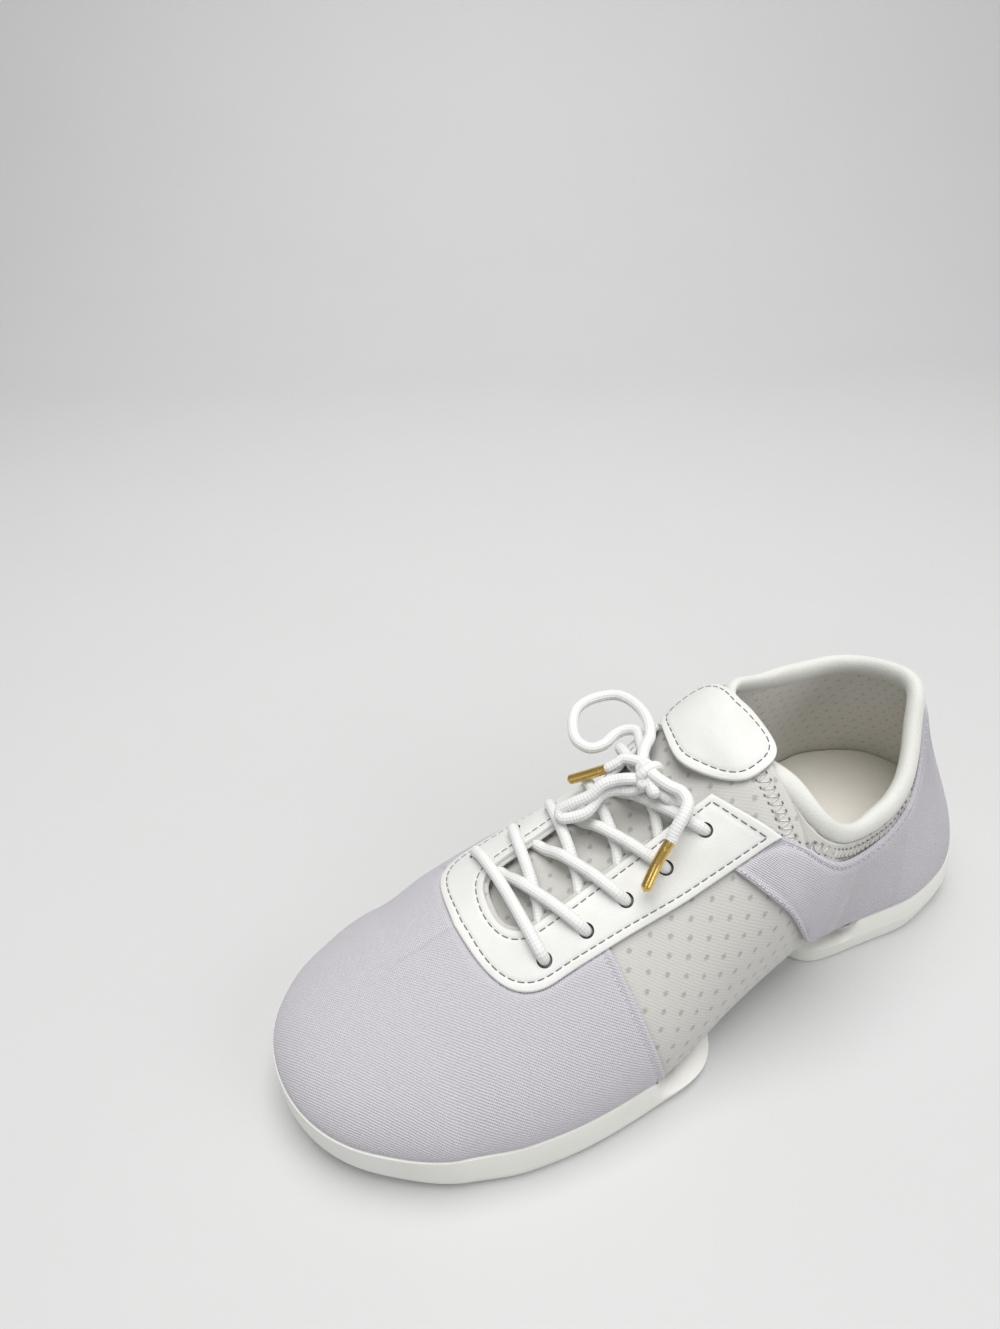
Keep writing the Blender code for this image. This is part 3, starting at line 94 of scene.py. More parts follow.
# Foot of the wall: width it is a share of, along, turn of the section in degrees (0 to the
# toe, 90 lateral), distance out from the axis, lean out in degrees, handle
FOOT_ROWS = (
    (HEEL_WIDTH, HEEL_AXIS, 180, 0.684, -10, 0.35), (HEEL_WIDTH, HEEL_AXIS, 150, 0.637, -8, 0.35),
    (HEEL_WIDTH, HEEL_AXIS, 120, 0.522, -4, 0.35), (HEEL_WIDTH, HEEL_AXIS, 90, 0.478, 0, 0.35),
    (BALL_WIDTH, 0.271, 90, 0.318, 4, 0.35), (BALL_WIDTH, 0.316, 90, 0.325, 8, 0.38),
    (BALL_WIDTH, 0.384, 90, 0.365, 10, 0.45), (BALL_WIDTH, 0.470, 90, 0.425, 10, 0.38),
    (BALL_WIDTH, 0.586, 90, 0.506, 6, 0.30), (BALL_WIDTH, 0.695, 90, 0.528, 4, 0.28),
    (BALL_WIDTH, 0.752, 90, 0.520, 4, 0.28), (BALL_WIDTH, TOE_AXIS, 90, 0.480, 4, 0.28),
    (BALL_WIDTH, TOE_AXIS, 60, 0.434, 4, 0.28), (BALL_WIDTH, TOE_AXIS, 30, 0.430, 2, 0.28),
    (BALL_WIDTH, TOE_AXIS, 0, 0.419, 0, 0.28), (BALL_WIDTH, TOE_AXIS, -30, 0.378, 2, 0.28),
    (BALL_WIDTH, TOE_AXIS, -60, 0.342, 4, 0.28), (BALL_WIDTH, TOE_AXIS, -90, 0.352, 4, 0.28),
    (BALL_WIDTH, 0.752, -90, 0.395, 5, 0.30), (BALL_WIDTH, 0.695, -90, 0.400, 6, 0.32),
    (BALL_WIDTH, 0.586, -90, 0.350, 8, 0.36), (BALL_WIDTH, 0.470, -90, 0.280, 12, 0.40),
    (BALL_WIDTH, 0.384, -90, 0.260, 14, 0.40), (BALL_WIDTH, 0.316, -90, 0.268, 12, 0.40),
    (BALL_WIDTH, 0.271, -90, 0.285, 8, 0.38), (HEEL_WIDTH, HEEL_AXIS, -90, 0.463, 4, 0.35),
    (HEEL_WIDTH, HEEL_AXIS, -120, 0.522, 0, 0.35), (HEEL_WIDTH, HEEL_AXIS, -150, 0.637, -6, 0.35),
)
# Collar's edge: along, turn, out as a share of the ball width, height as a share of the
# collar's height, direction of the wall there in degrees above level, handle
COLLAR_ROWS = (
    (HEEL_AXIS, 180, 0.205, 0.924, 72, 0.35), (HEEL_AXIS, 160, 0.165, 0.864, 70, 0.35),
    (HEEL_AXIS, 140, 0.159, 0.823, 70, 0.35), (HEEL_AXIS, 116, 0.174, 0.771, 74, 0.35),
    (HEEL_AXIS, 90, 0.225, 0.713, 78, 0.35), (0.226, 90, 0.266, 0.678, 80, 0.35),
    (0.271, 90, 0.293, 0.685, 82, 0.35), (0.316, 90, 0.315, 0.728, 80, 0.35),
    (0.342, 90, 0.320, 0.777, 70, 0.36), (0.361, 90, 0.290, 0.813, 55, 0.345),
    (0.370, 90, 0.240, 0.851, 40, 0.33), (0.3735, 90, 0.140, 0.908, 25, 0.40),
    (0.3735, -90, 0.235, 0.992, 35, 0.32), (0.361, -90, 0.262, 0.984, 57, 0.37),
    (0.342, -90, 0.270, 0.962, 65, 0.36), (0.316, -90, 0.283, 0.929, 75, 0.35),
    (0.271, -90, 0.293, 0.886, 84, 0.35), (HEEL_AXIS, -90, 0.300, 0.853, 86, 0.35),
    (HEEL_AXIS, -120, 0.290, 0.859, 82, 0.35), (HEEL_AXIS, -150, 0.240, 0.897, 76, 0.35),
)
# Ridge of the instep: along, side (share of the ball width, lateral +), height (share of the
# instep's), slope across in degrees, handles of the lateral and the medial section
RIDGE_ROWS = (
    (0.375, -0.120, 1.460, 6, 0.55, 0.45), (0.406, -0.110, 1.402, 7, 0.54, 0.46),
    (0.432, -0.100, 1.330, 9, 0.52, 0.48), (0.470, -0.080, 1.242, 10, 0.48, 0.50),
    (0.519, -0.060, 1.121, 9, 0.44, 0.50), (0.586, -0.040, 0.999, 8, 0.40, 0.50),
    (0.643, -0.020, 0.925, 8, 0.38, 0.50), (0.695, -0.010, 0.853, 8, 0.38, 0.48),
    (0.752, -0.010, 0.782, 7, 0.38, 0.44), (0.831, 0.000, 0.667, 5, 0.38, 0.38),
)
# Upper edge of the heel's canvas: along, turn, share of the collar's height
CANVAS_ROWS = (
    (HEEL_AXIS, 180, 0.870), (HEEL_AXIS, 132, 0.790), (HEEL_AXIS, 105, 0.708), (HEEL_AXIS, 90, 0.660),
    (0.226, 90, 0.620), (0.271, 90, 0.622), (0.316, 90, 0.655), (0.353, 90, 0.728), (0.387, 90, 0.790),
    (0.387, -90, 0.600), (0.353, -90, 0.620), (0.316, -90, 0.650), (0.271, -90, 0.680),
    (HEEL_AXIS, -90, 0.712), (HEEL_AXIS, -132, 0.790),
)
# Rim of the heel's rubber: along, turn, share of the way from its side height to the tab's
HEEL_RIM_ROWS = (
    (HEEL_AXIS, 180, 1.00), (HEEL_AXIS, 165, 0.55), (HEEL_AXIS, 148, 0.18), (HEEL_AXIS, 120, 0.0),
    (HEEL_AXIS, 90, 0.0), (HEEL_AXIS, -90, 0.0), (HEEL_AXIS, -120, 0.0), (HEEL_AXIS, -148, 0.18),
    (HEEL_AXIS, -165, 0.55),
)
# Bow: places in millimetres from the heel's back, towards the lateral side and up
ROUND_LOOP = (
    (128.8, -16.9, 83.0), (125.0, -20.2, 83.4), (121.3, -27.5, 82.5), (119.6, -35.7, 81.0),
    (120.7, -43.1, 80.0), (124.1, -47.6, 79.0), (131.6, -49.3, 78.0), (138.1, -47.0, 77.5),
    (142.5, -41.1, 77.0), (144.7, -34.0, 77.0), (142.5, -28.9, 77.0), (137.6, -28.3, 77.0),
    (131.8, -30.9, 77.0), (127.6, -31.0, 77.6), (124.9, -28.0, 78.6))
NARROW_LOOP = (
    (139.8, -7.6, 82.0), (143.7, -9.8, 80.8), (147.4, -10.8, 79.4), (151.7, -11.0, 76.0),
    (156.7, -12.6, 73.0), (160.2, -13.8, 70.2), (160.6, -11.4, 69.0), (154.0, -8.6, 71.6),
    (147.7, -10.6, 75.0), (143.3, -9.3, 76.6), (140.0, -6.6, 77.8))
SHORT_END = ((136.6, -16.4, 81.0), (138.8, -16.8, 79.6), (141.4, -17.4, 78.0))
LONG_END = (
    (131.2, 1.6, 84.0), (129.0, 4.6, 83.6), (129.2, 8.4, 83.0), (131.8, 10.9, 81.4),
    (134.7, 12.4, 78.9), (136.8, 13.4, 76.4))
SHORT_AGLET = ((142.0, -17.7, 77.6), (147.0, -20.5, 74.4), (152.8, -23.6, 71.0))
LONG_AGLET = ((137.3, 13.8, 75.8), (143.0, 16.4, 71.2), (149.7, 20.8, 66.4))


def steady(x, xs, ys):
    """Monotone cubic through the rows (xs, ys): slopes are weighted harmonic means."""
    xs, ys = np.asarray(xs, float), np.asarray(ys, float)
    step = np.diff(xs)
    rise = np.diff(ys) / step
    near, far = 2 * step[1:] + step[:-1], step[1:] + 2 * step[:-1]
    same = rise[:-1] * rise[1:] > 0
    a, b = np.where(same, rise[:-1], 1), np.where(same, rise[1:], 1)
    inner = np.where(same, (near + far) / (near / a + far / b), 0)
    slope = np.concatenate([rise[:1], inner, rise[-1:]])
    x = np.clip(x, xs[0], xs[-1])
    k = np.clip(np.searchsorted(xs, x) - 1, 0, len(xs) - 2)
    t, h = (x - xs[k]) / step[k], step[k]
    start = (1 + 2 * t) * (1 - t) ** 2 * ys[k] + t * (1 - t) ** 2 * h * slope[k]
    return start + t * t * (3 - 2 * t) * ys[k + 1] - t * t * (1 - t) * h * slope[k + 1]


def smooth_step(x):
    """Smooth change from 0 to 1 as x goes from 0 to 1: 3x^2 - 2x^3."""
    x = np.clip(x, 0, 1)
    return x * x * (3 - 2 * x)


def side_way(along, hand):
    """Way of the straight section at a share of the length; hand is 1 lateral, -1 medial."""
    share = (np.asarray(along, float) - HEEL_AXIS) / (TOE_AXIS - HEEL_AXIS)
    return np.where(np.asarray(hand) > 0, 1 + share, 5 - share)


def row_way(along, turn):
    """Way of a table row."""
    if along == HEEL_AXIS and turn >= 90:
        return (180 - turn) / 90
    if along == HEEL_AXIS:
        return 5 + (-90 - turn) / 90
    if along == TOE_AXIS:
        return 2 + (90 - turn) / 90
    return float(side_way(along, turn))


def around(ways, values, way):
    """Value at a way, read from rows that go round the shoe."""
    order = np.argsort(ways)
    ways, values = np.asarray(ways, float)[order], np.asarray(values, float)[order]
    ways = np.concatenate([ways[-3:] - 6, ways, ways[:3] + 6])
    values = np.concatenate([values[-3:], values, values[:3]])
    return steady(way, ways, values)


def spring(x):
    """Height of the tread above the floor: a parabola that starts before the toe."""
    share = (np.asarray(x) / LENGTH - SPRING_START) / (1 - SPRING_START)
    return TOE_SPRING * np.clip(share, 0, None) ** 2


def bed(x):
    """Height of the footbed's underside along the shoe."""
    rows = (
        (0.000, HEEL_BED), (0.190, HEEL_BED), (0.300, 0.6 * HEEL_BED + 0.4 * ARCH_BED),
        (0.390, ARCH_BED), (0.450, 0.97 * ARCH_BED), (0.520, 0.5 * (ARCH_BED + FORE_BED)),
        (0.600, 1.05 * FORE_BED), (0.700, FORE_BED), (1.000, FORE_BED))
    return steady(np.asarray(x) / LENGTH, [r[0] for r in rows], [r[1] for r in rows]) + spring(x)


def ridge(along):
    """Side, height, cross slope and the two handles of the instep's ridge."""
    rows = np.array(RIDGE_ROWS)
    side, up, tilt, left, right = (steady(along, rows[:, 0], rows[:, k]) for k in range(1, 6))
    return side * BALL_WIDTH, up * INSTEP_HEIGHT, tilt, left, right


FOOT_WAYS = [row_way(row[1], row[2]) for row in FOOT_ROWS]
NECK_SIDE, NECK_UP, NECK_TILT, NECK_LEFT, NECK_RIGHT = (float(v) for v in ridge(NECK))
TOPS = [(row_way(along, turn), out * BALL_WIDTH, up * COLLAR_HEIGHT, tilt, reach)
        for along, turn, out, up, tilt, reach in COLLAR_ROWS]
TOPS.append((float(side_way(NECK, 1)), NECK_SIDE, NECK_UP, NECK_TILT, NECK_LEFT))
TOPS.append((float(side_way(NECK, -1)), -NECK_SIDE, NECK_UP, -NECK_TILT, NECK_RIGHT))


def axis_of(way):
    """Place of a section's axis (share of the length) and the section's turn in radians."""
    stops = [0, 1, 2, 4, 5, 6]
    way = np.mod(way, 6)
    along = np.interp(way, stops, [HEEL_AXIS, HEEL_AXIS, TOE_AXIS, TOE_AXIS, HEEL_AXIS, HEEL_AXIS])
    return along, np.radians(np.interp(way, stops, [180, 90, 90, -90, -90, -180]))


def foot_out(way):
    """Distance from the axis to the foot of the wall."""
    return around(FOOT_WAYS, [row[0] * row[3] for row in FOOT_ROWS], np.mod(way, 6))


def section(way):
    """Axis, turn and the four control points (out, up) of the sections at the ways given."""
    way = np.mod(np.asarray(way, float), 6)
    along, turn = axis_of(way)
    foot = foot_out(way)
    lean = np.radians(around(FOOT_WAYS, [row[4] for row in FOOT_ROWS], way))
    rise = around(FOOT_WAYS, [row[5] for row in FOOT_ROWS], way)
    foot_up = bed(along * LENGTH + foot * np.cos(turn)) + CORNER
    ways = [row[0] for row in TOPS]
    out, up, tilt, reach = (around(ways, [row[k] for row in TOPS], way) for k in range(1, 5))
    side, crest, cross, left, right = ridge(np.clip(along, NECK, TOE_AXIS))
    fall = np.tan(radians(TOE_FALL)) * np.cos(turn) + np.tan(np.radians(cross)) * np.sin(turn)
    on_ridge = along >= NECK
    out = np.where(on_ridge, side * np.sin(turn), out)
    up = np.where(on_ridge, crest, up)
    tilt = np.where(on_ridge, np.arctan(fall), np.radians(tilt))
    reach = np.where(on_ridge, np.where(turn > 0, left, right), reach)
    chord = np.hypot(foot - out, up - foot_up)
    low, high = np.stack([foot, foot_up], -1), np.stack([out, up], -1)
    low_handle = low + (rise * chord)[..., None] * np.stack([np.sin(lean), np.cos(lean)], -1)
    high_handle = high + (reach * chord)[..., None] * np.stack([np.cos(tilt), -np.sin(tilt)], -1)
    return along * LENGTH, turn, low, low_handle, high_handle, high


def outer(way, t):
    """Point on the upper's outer side: the cubic of its section at t."""
    axis, turn, a, b, c, d = section(way)
    t = np.asarray(t, float)[..., None]
    p = (1 - t) ** 3 * a + 3 * t * (1 - t) ** 2 * b + 3 * t * t * (1 - t) * c + t ** 3 * d
    return np.stack([axis + p[..., 0] * np.cos(turn), p[..., 0] * np.sin(turn), p[..., 1]], -1)


def unit(v):
    """Vectors of length one."""
    return v / np.maximum(np.linalg.norm(v, axis=-1, keepdims=True), 1e-12)


def normal(way, t):
    """Unit vector out of the outer side: cross product of small steps up and round it."""
    step = 0.004
    t = np.clip(t, step, 1 - 2 * step)
    across = outer(way, t + step) - outer(way, t - step)
    return unit(np.cross(across, outer(way + 5 * step, t) - outer(way - 5 * step, t)))


def skin(way, t, lift):
    """Outer side moved out by lift."""
    way, t, lift = np.broadcast_arrays(*(np.asarray(v, float) for v in (way, t, lift)))
    return outer(way, t) + lift[..., None] * normal(way, t)


# Lengths along the sections from the foot, as a table over ways (dense at the neck) and t
NECKS = [float(side_way(NECK, hand)) for hand in (1, -1)]
WAYS = np.unique(np.concatenate(
    [np.linspace(0, 6, 1001)] + [neck + s * np.linspace(0, 0.06, 60) ** 1.0
                                 for neck in NECKS for s in (-1, 1)]
    + [neck + s * np.linspace(0, 0.004, 40) for neck in NECKS for s in (-1, 1)]))
STOPS = np.linspace(0, 1, 101)
TABLE = outer(WAYS[:, None] + 0 * STOPS, STOPS + 0 * WAYS[:, None])
RUNS = np.concatenate([np.zeros((len(WAYS), 1)), np.cumsum(
    np.linalg.norm(np.diff(TABLE, axis=1), axis=-1), axis=1)], axis=1)
HEIGHTS = np.maximum.accumulate(TABLE[..., 2], axis=1)


def table_rows(table, way):
    """Rows of a table at the ways, blended between its two nearest ones."""
    way = np.mod(way, 6)
    k = np.clip(np.searchsorted(WAYS, way) - 1, 0, len(WAYS) - 2)
    f = ((way - WAYS[k]) / (WAYS[k + 1] - WAYS[k]))[:, None]
    return table[k] * (1 - f) + table[k + 1] * f


def t_where(table, way, value):
    """Where along the sections a rising table reaches a value."""
    way, value = np.broadcast_arrays(np.asarray(way, float), np.asarray(value, float))
    rows, want = table_rows(table, way.ravel()), value.ravel()[:, None]
    k = np.clip((rows < want).sum(axis=1) - 1, 0, len(STOPS) - 2)
    line = np.arange(len(rows))
    low, high = rows[line, k], rows[line, k + 1]
    f = np.clip((want[:, 0] - low) / np.maximum(high - low, 1e-9), 0, 1)
    return (STOPS[k] + f * STOPS[1]).reshape(way.shape)


def length_at(way, t):
    """Length along a section's curve from the foot to t."""
    way, t = np.broadcast_arrays(np.asarray(way, float), np.asarray(t, float))
    rows, spot = table_rows(RUNS, way.ravel()), t.ravel() / STOPS[1]
    k = np.clip(spot.astype(int), 0, len(STOPS) - 2)
    line = np.arange(len(rows))
    f = spot - k
    return (rows[line, k] * (1 - f) + rows[line, k + 1] * f).reshape(way.shape)


def t_from_foot(way, length):
    """Where a section is a given length along its curve from the foot."""
    return t_where(RUNS, way, length)


def t_at_height(way, up):
    """Where a section first reaches a height."""
    return t_where(HEIGHTS, way, up)


def t_at_girth(way, girth):
    """Where a section is a given girth (length along its curve) away from its top end."""
    return t_from_foot(way, length_at(way, 1) - girth)


def between(way, low, high, share):
    """Share of the length between two places t of the sections, as a place t."""
    a, b = length_at(way, low), length_at(way, high)
    return t_from_foot(way, a + (b - a) * share)


def instep(along, girth, lift):
    """Point over the instep at a share of the length and a girth from the ridge (lateral +)."""
    along, girth, lift = np.broadcast_arrays(*(np.asarray(v, float) for v in (along, girth, lift)))
    way = side_way(along, np.where(girth >= 0, 1, -1))
    t = t_at_girth(way, np.abs(girth))
    return outer(way, t) + lift[..., None] * normal(way, t)


def stay_girth(along):
    """Girth of the eyestay's outer edge along its straight sides; it widens to the rear."""
    share = np.clip((STAY_BEND - np.asarray(along, float)) / (STAY_BEND - STAY_REAR), 0, 1)
    return STAY_FRONT_OUTER + (STAY_REAR_OUTER - STAY_FRONT_OUTER) * share ** 1.6


def stay_front(angle, grow):
    """Eyestay's blunt oval front edge grown outward: place along and girth."""
    side, front = np.cos(angle), np.abs(np.sin(angle))
    girth = (STAY_FRONT_OUTER + grow) * np.sign(side) * np.abs(side) ** 0.625
    ahead = STAY_OUTER_FRONT - STAY_BEND + grow / LENGTH
    slant = 0.16 * np.clip(girth, 0, None) / LENGTH * front ** 0.5
    return STAY_BEND + ahead * front ** 0.625 - slant, np.where(front > 0.9999, 0, girth)


def eyelet_places():
    """Share along and girth of each eyelet, front to rear, lateral then medial."""
    alongs = np.linspace(FIRST_EYELET, LAST_EYELET, EYELETS_PER_SIDE)
    return [(x - 0.008, EYELET_ROW) for x in alongs], [(x + 0.010, -EYELET_ROW) for x in alongs]


# Meshes
def quads(rows, columns, wrap=False):
    """Faces of a grid numbered row by row; wrap joins the last row to the first."""
    i = np.arange(rows if wrap else rows - 1)[:, None]
    j = np.arange(columns - 1)[None, :]
    k = (i + 1) % rows
    corners = [i * columns + j, i * columns + j + 1, k * columns + j + 1, k * columns + j]
    return np.stack(np.broadcast_arrays(*corners), -1).reshape(-1, 4)


def strip(first, second):
    """Faces between two closed loops of point numbers."""
    return np.stack([first, np.roll(first, -1), np.roll(second, -1), second], -1)


def volume(points, faces):
    """Signed volume inside the faces: a sum of tetrahedra from the origin."""
    a, b, c, d = (points[faces[:, k]] for k in range(4))
    return float((np.cross(a, b) * c).sum() + (np.cross(a, c) * d).sum()) / 6


def piece(name, points, faces, paint, uv=None, close=0.0, sharp=None):
    """Smooth object from points and four-sided faces, moved by ORIGIN into the frame. Where
    near points are merged, walls left inside it go and its faces are turned outwards."""
    points = np.asarray(points, float).reshape(-1, 3) - ORIGIN
    mesh = bpy.data.meshes.new(name)
    mesh.from_pydata(points.tolist(), [], faces.tolist())
    if uv is not None:
        layer = mesh.uv_layers.new(name="cloth")
        layer.data.foreach_set("uv", np.asarray(uv, float).reshape(-1, 2)[faces.ravel()].ravel())
    if close:
        work = bmesh.new()
        work.from_mesh(mesh)
        bmesh.ops.remove_doubles(work, verts=work.verts, dist=close)
        bmesh.ops.dissolve_degenerate(work, edges=work.edges, dist=0.2 * close)
        work.faces.ensure_lookup_table()
        inner = []
        for face in work.faces:
            shared = [len(edge.link_faces) for edge in face.edges]
            crowded = sum(count > 2 for count in shared)
            if crowded == len(shared) or (max(shared) > 3 and crowded >= 2):
                inner.append(face)
        bmesh.ops.delete(work, geom=inner, context="FACES_ONLY")
        bmesh.ops.recalc_face_normals(work, faces=work.faces)
        if work.calc_volume(signed=True) < 0:
            bmesh.ops.reverse_faces(work, faces=work.faces)
        work.to_mesh(mesh)
        work.free()
    mesh.validate()
    mesh.materials.append(paint.surface)
    mesh.shade_smooth()
    if sharp:
        mesh.set_sharp_from_angle(angle=radians(sharp))
    made = bpy.data.objects.new(name, mesh)
    bpy.context.scene.collection.objects.link(made)
    return made


def slab(name, top, under, paint, uv=None, wrap=False, close=0.005 * MM, sharp=None):
    """Closed sheet from its top and under grids and the strips round their edges."""
    rows, columns = top.shape[:2]
    count = rows * columns
    number = np.arange(count).reshape(rows, columns)
    faces = quads(rows, columns, wrap)
    if wrap:
        rims = [number[:, 0][::-1], number[:, -1]]
    else:
        rims = [np.concatenate([number[0, :-1], number[:-1, -1], number[-1, :0:-1], number[:0:-1, 0]])[::-1]]
    faces = np.concatenate([faces, faces[:, ::-1] + count] + [strip(r, r + count) for r in rims])
    points = np.concatenate([top.reshape(-1, 3), under.reshape(-1, 3)])
    if volume(points, faces) < 0:
        faces = faces[:, ::-1]
    uv = None if uv is None else np.concatenate([uv.reshape(-1, 2)] * 2)
    return piece(name, points, faces, paint, uv, close, sharp)


def carried(line):
    """Side and rise carried along a line with the least twist, one ring at a time."""
    tangent = unit(np.gradient(line, axis=0))
    side = [unit(np.cross(tangent[0], [0.1, 0.2, 1.0]))]
    for t in tangent[1:]:
        side.append(unit(side[-1] - t * (side[-1] @ t)))
    side = np.array(side)
    return side, np.cross(side, tangent)


def tube(name, line, radius, paint, sides=16, caps=True):
    """Round tube along a line of points; radius may change along it; ends close in a dome."""
    radius = np.broadcast_to(radius, len(line)).astype(float)
    if caps:
        a = np.radians([8, 35, 62])
        start, end = unit(line[0] - line[1]), unit(line[-1] - line[-2])
        head = line[0] + start * (radius[0] * np.cos(a))[:, None]
        tail = line[-1] + end * (radius[-1] * np.cos(a[::-1]))[:, None]
        line = np.concatenate([head, line, tail])
        radius = np.concatenate([radius[0] * np.sin(a), radius, radius[-1] * np.sin(a[::-1])])
    side, rise = carried(line)
    angle = 2 * pi * np.arange(sides + 1) / sides
    ring = side[:, None] * np.cos(angle)[:, None] + rise[:, None] * np.sin(angle)[:, None]
    points = line[:, None] + radius[:, None, None] * ring
    run = np.concatenate([[0], np.cumsum(np.linalg.norm(np.diff(line, axis=0), axis=1))])
    uv = np.stack(np.broadcast_arrays(run[:, None], angle * LACE_RADIUS), -1)
    grid = quads(len(line), sides + 1)
    points = np.concatenate([points.reshape(-1, 3), line[[0, -1]]])
    uv = np.concatenate([uv.reshape(-1, 2), uv[0, :1], uv[-1, :1]])
    k = np.arange(0, sides, 2)
    last = (len(line) - 1) * (sides + 1)
    count = len(points)
    caps_low = np.stack([k, 0 * k + count - 2, k + 2, k + 1], -1)
    caps_high = np.stack([last + k, last + k + 1, last + k + 2, 0 * k + count - 1], -1)
    faces = np.concatenate([grid, caps_low, caps_high])
    if volume(points, faces) < 0:
        faces = faces[:, ::-1]
    return piece(name, points, faces, paint, uv, close=MERGE)


def curve_through(points, spacing):
    """Points at an even spacing on a smooth curve (Catmull-Rom) through a route's points."""
    points = np.asarray(points, float)
    ends = np.concatenate([[2 * points[0] - points[1]], points, [2 * points[-1] - points[-2]]])
    a, b, c, d = ends[:-3, None], ends[1:-2, None], ends[2:-1, None], ends[3:, None]
    t = np.linspace(0, 1, 16, endpoint=False)[None, :, None]
    fine = 0.5 * (2 * b + (c - a) * t + (2 * a - 5 * b + 4 * c - d) * t ** 2
                  + (3 * b - a - 3 * c + d) * t ** 3)
    return evenly(np.concatenate([fine.reshape(-1, 3), points[-1:]]), spacing)


def evenly(line, spacing):
    """The same line at an even spacing."""
    run = np.concatenate([[0], np.cumsum(np.linalg.norm(np.diff(line, axis=0), axis=1))])
    stops = np.linspace(0, run[-1], max(2, int(round(run[-1] / spacing)) + 1))
    return np.stack([np.interp(stops, run, line[:, k]) for k in range(3)], -1)


def stitches(name, line, out, pitch, length, radius, paint, sink=0.0, zigzag=0.0):
    """Row of short threads on a line: ellipsoids at an even pitch, each along its own chord.

    With a zigzag the threads lean across the line by turns, as an overlock seam does.
    """
    run = np.concatenate([[0], np.cumsum(np.linalg.norm(np.diff(line, axis=0), axis=1))])
    count = int(run[-1] / pitch)
    spot = (np.arange(count) + 0.5) * run[-1] / count
    def at(s):
        return np.stack([np.interp(s, run, line[:, k]) for k in range(3)], -1)
    def up(s):
        return unit(np.stack([np.interp(s, run, out[:, k]) for k in range(3)], -1))
    centre, n = at(spot), up(spot)
    tangent = unit(at(spot + 0.3 * pitch) - at(spot - 0.3 * pitch))
    side = unit(np.cross(n, tangent))
    if zigzag:
        turn = np.where(np.arange(count) % 2 == 0, 1, -1)[:, None] * zigzag / (pitch)
        tangent = unit(tangent + side * turn)
        side = unit(np.cross(n, tangent))
    u = np.array([-1, -0.97, -0.65, 0, 0.65, 0.97, 1])
    angle = 2 * pi * np.arange(7) / 6
    girth = np.sqrt(1 - np.abs(u) ** 3)
    body = (centre[:, None, None] - n[:, None, None] * sink
            + tangent[:, None, None] * (0.5 * length * u)[None, :, None, None]
            + radius * girth[None, :, None, None]
            * (side[:, None, None] * np.cos(angle)[:, None] + n[:, None, None] * np.sin(angle)[:, None]))
    cells = quads(len(u), len(angle))
    per = len(u) * len(angle)
    faces = (cells[None] + per * np.arange(count)[:, None, None]).reshape(-1, 4)
    uv = np.stack(np.broadcast_arrays(u[:, None] + 0 * angle, 0 * u[:, None] + angle), -1)
    uv = np.broadcast_to(uv, (count,) + uv.shape)
    points = body.reshape(-1, 3)
    if volume(points, faces) < 0:
        faces = faces[:, ::-1]
    return piece(name, points, faces, paint, uv, close=0.002 * MM)


# Finishes
class Wire:
    """A value in a node tree; arithmetic on it adds Math nodes."""

    def __init__(self, paint, socket):
        self.paint, self.socket = paint, socket

    def math(self, operation, *values):
        """Math node of the operation on values, this one among them."""
        return self.paint.node("ShaderNodeMath", {"operation": operation}, dict(enumerate(values)))

    def __add__(self, other):
        return self.math("ADD", self, other)

    def __sub__(self, other):
        return self.math("SUBTRACT", self, other)

    def __rsub__(self, other):
        return self.math("SUBTRACT", other, self)

    def __mul__(self, other):
        return self.math("MULTIPLY", self, other)

    def __truediv__(self, other):
        return self.math("DIVIDE", self, other)

    def __pow__(self, other):
        return self.math("POWER", self, other)

    __radd__, __rmul__ = __add__, __mul__

    def sine(self):
        """Sine of the value in radians."""
        return self.math("SINE", self)

    def size(self):
        """Absolute value."""
        return self.math("ABSOLUTE", self)

    def centred(self):
        """Distance from the nearest whole number, with its sign."""
        return self.math("FRACT", self + 0.5) - 0.5

    def step(self, low, high):
        """Smooth change from 0 at low to 1 at high."""
        return self.paint.node("ShaderNodeMapRange", {"interpolation_type": "SMOOTHSTEP"},
                               {"Value": self, "From Min": low, "From Max": high})


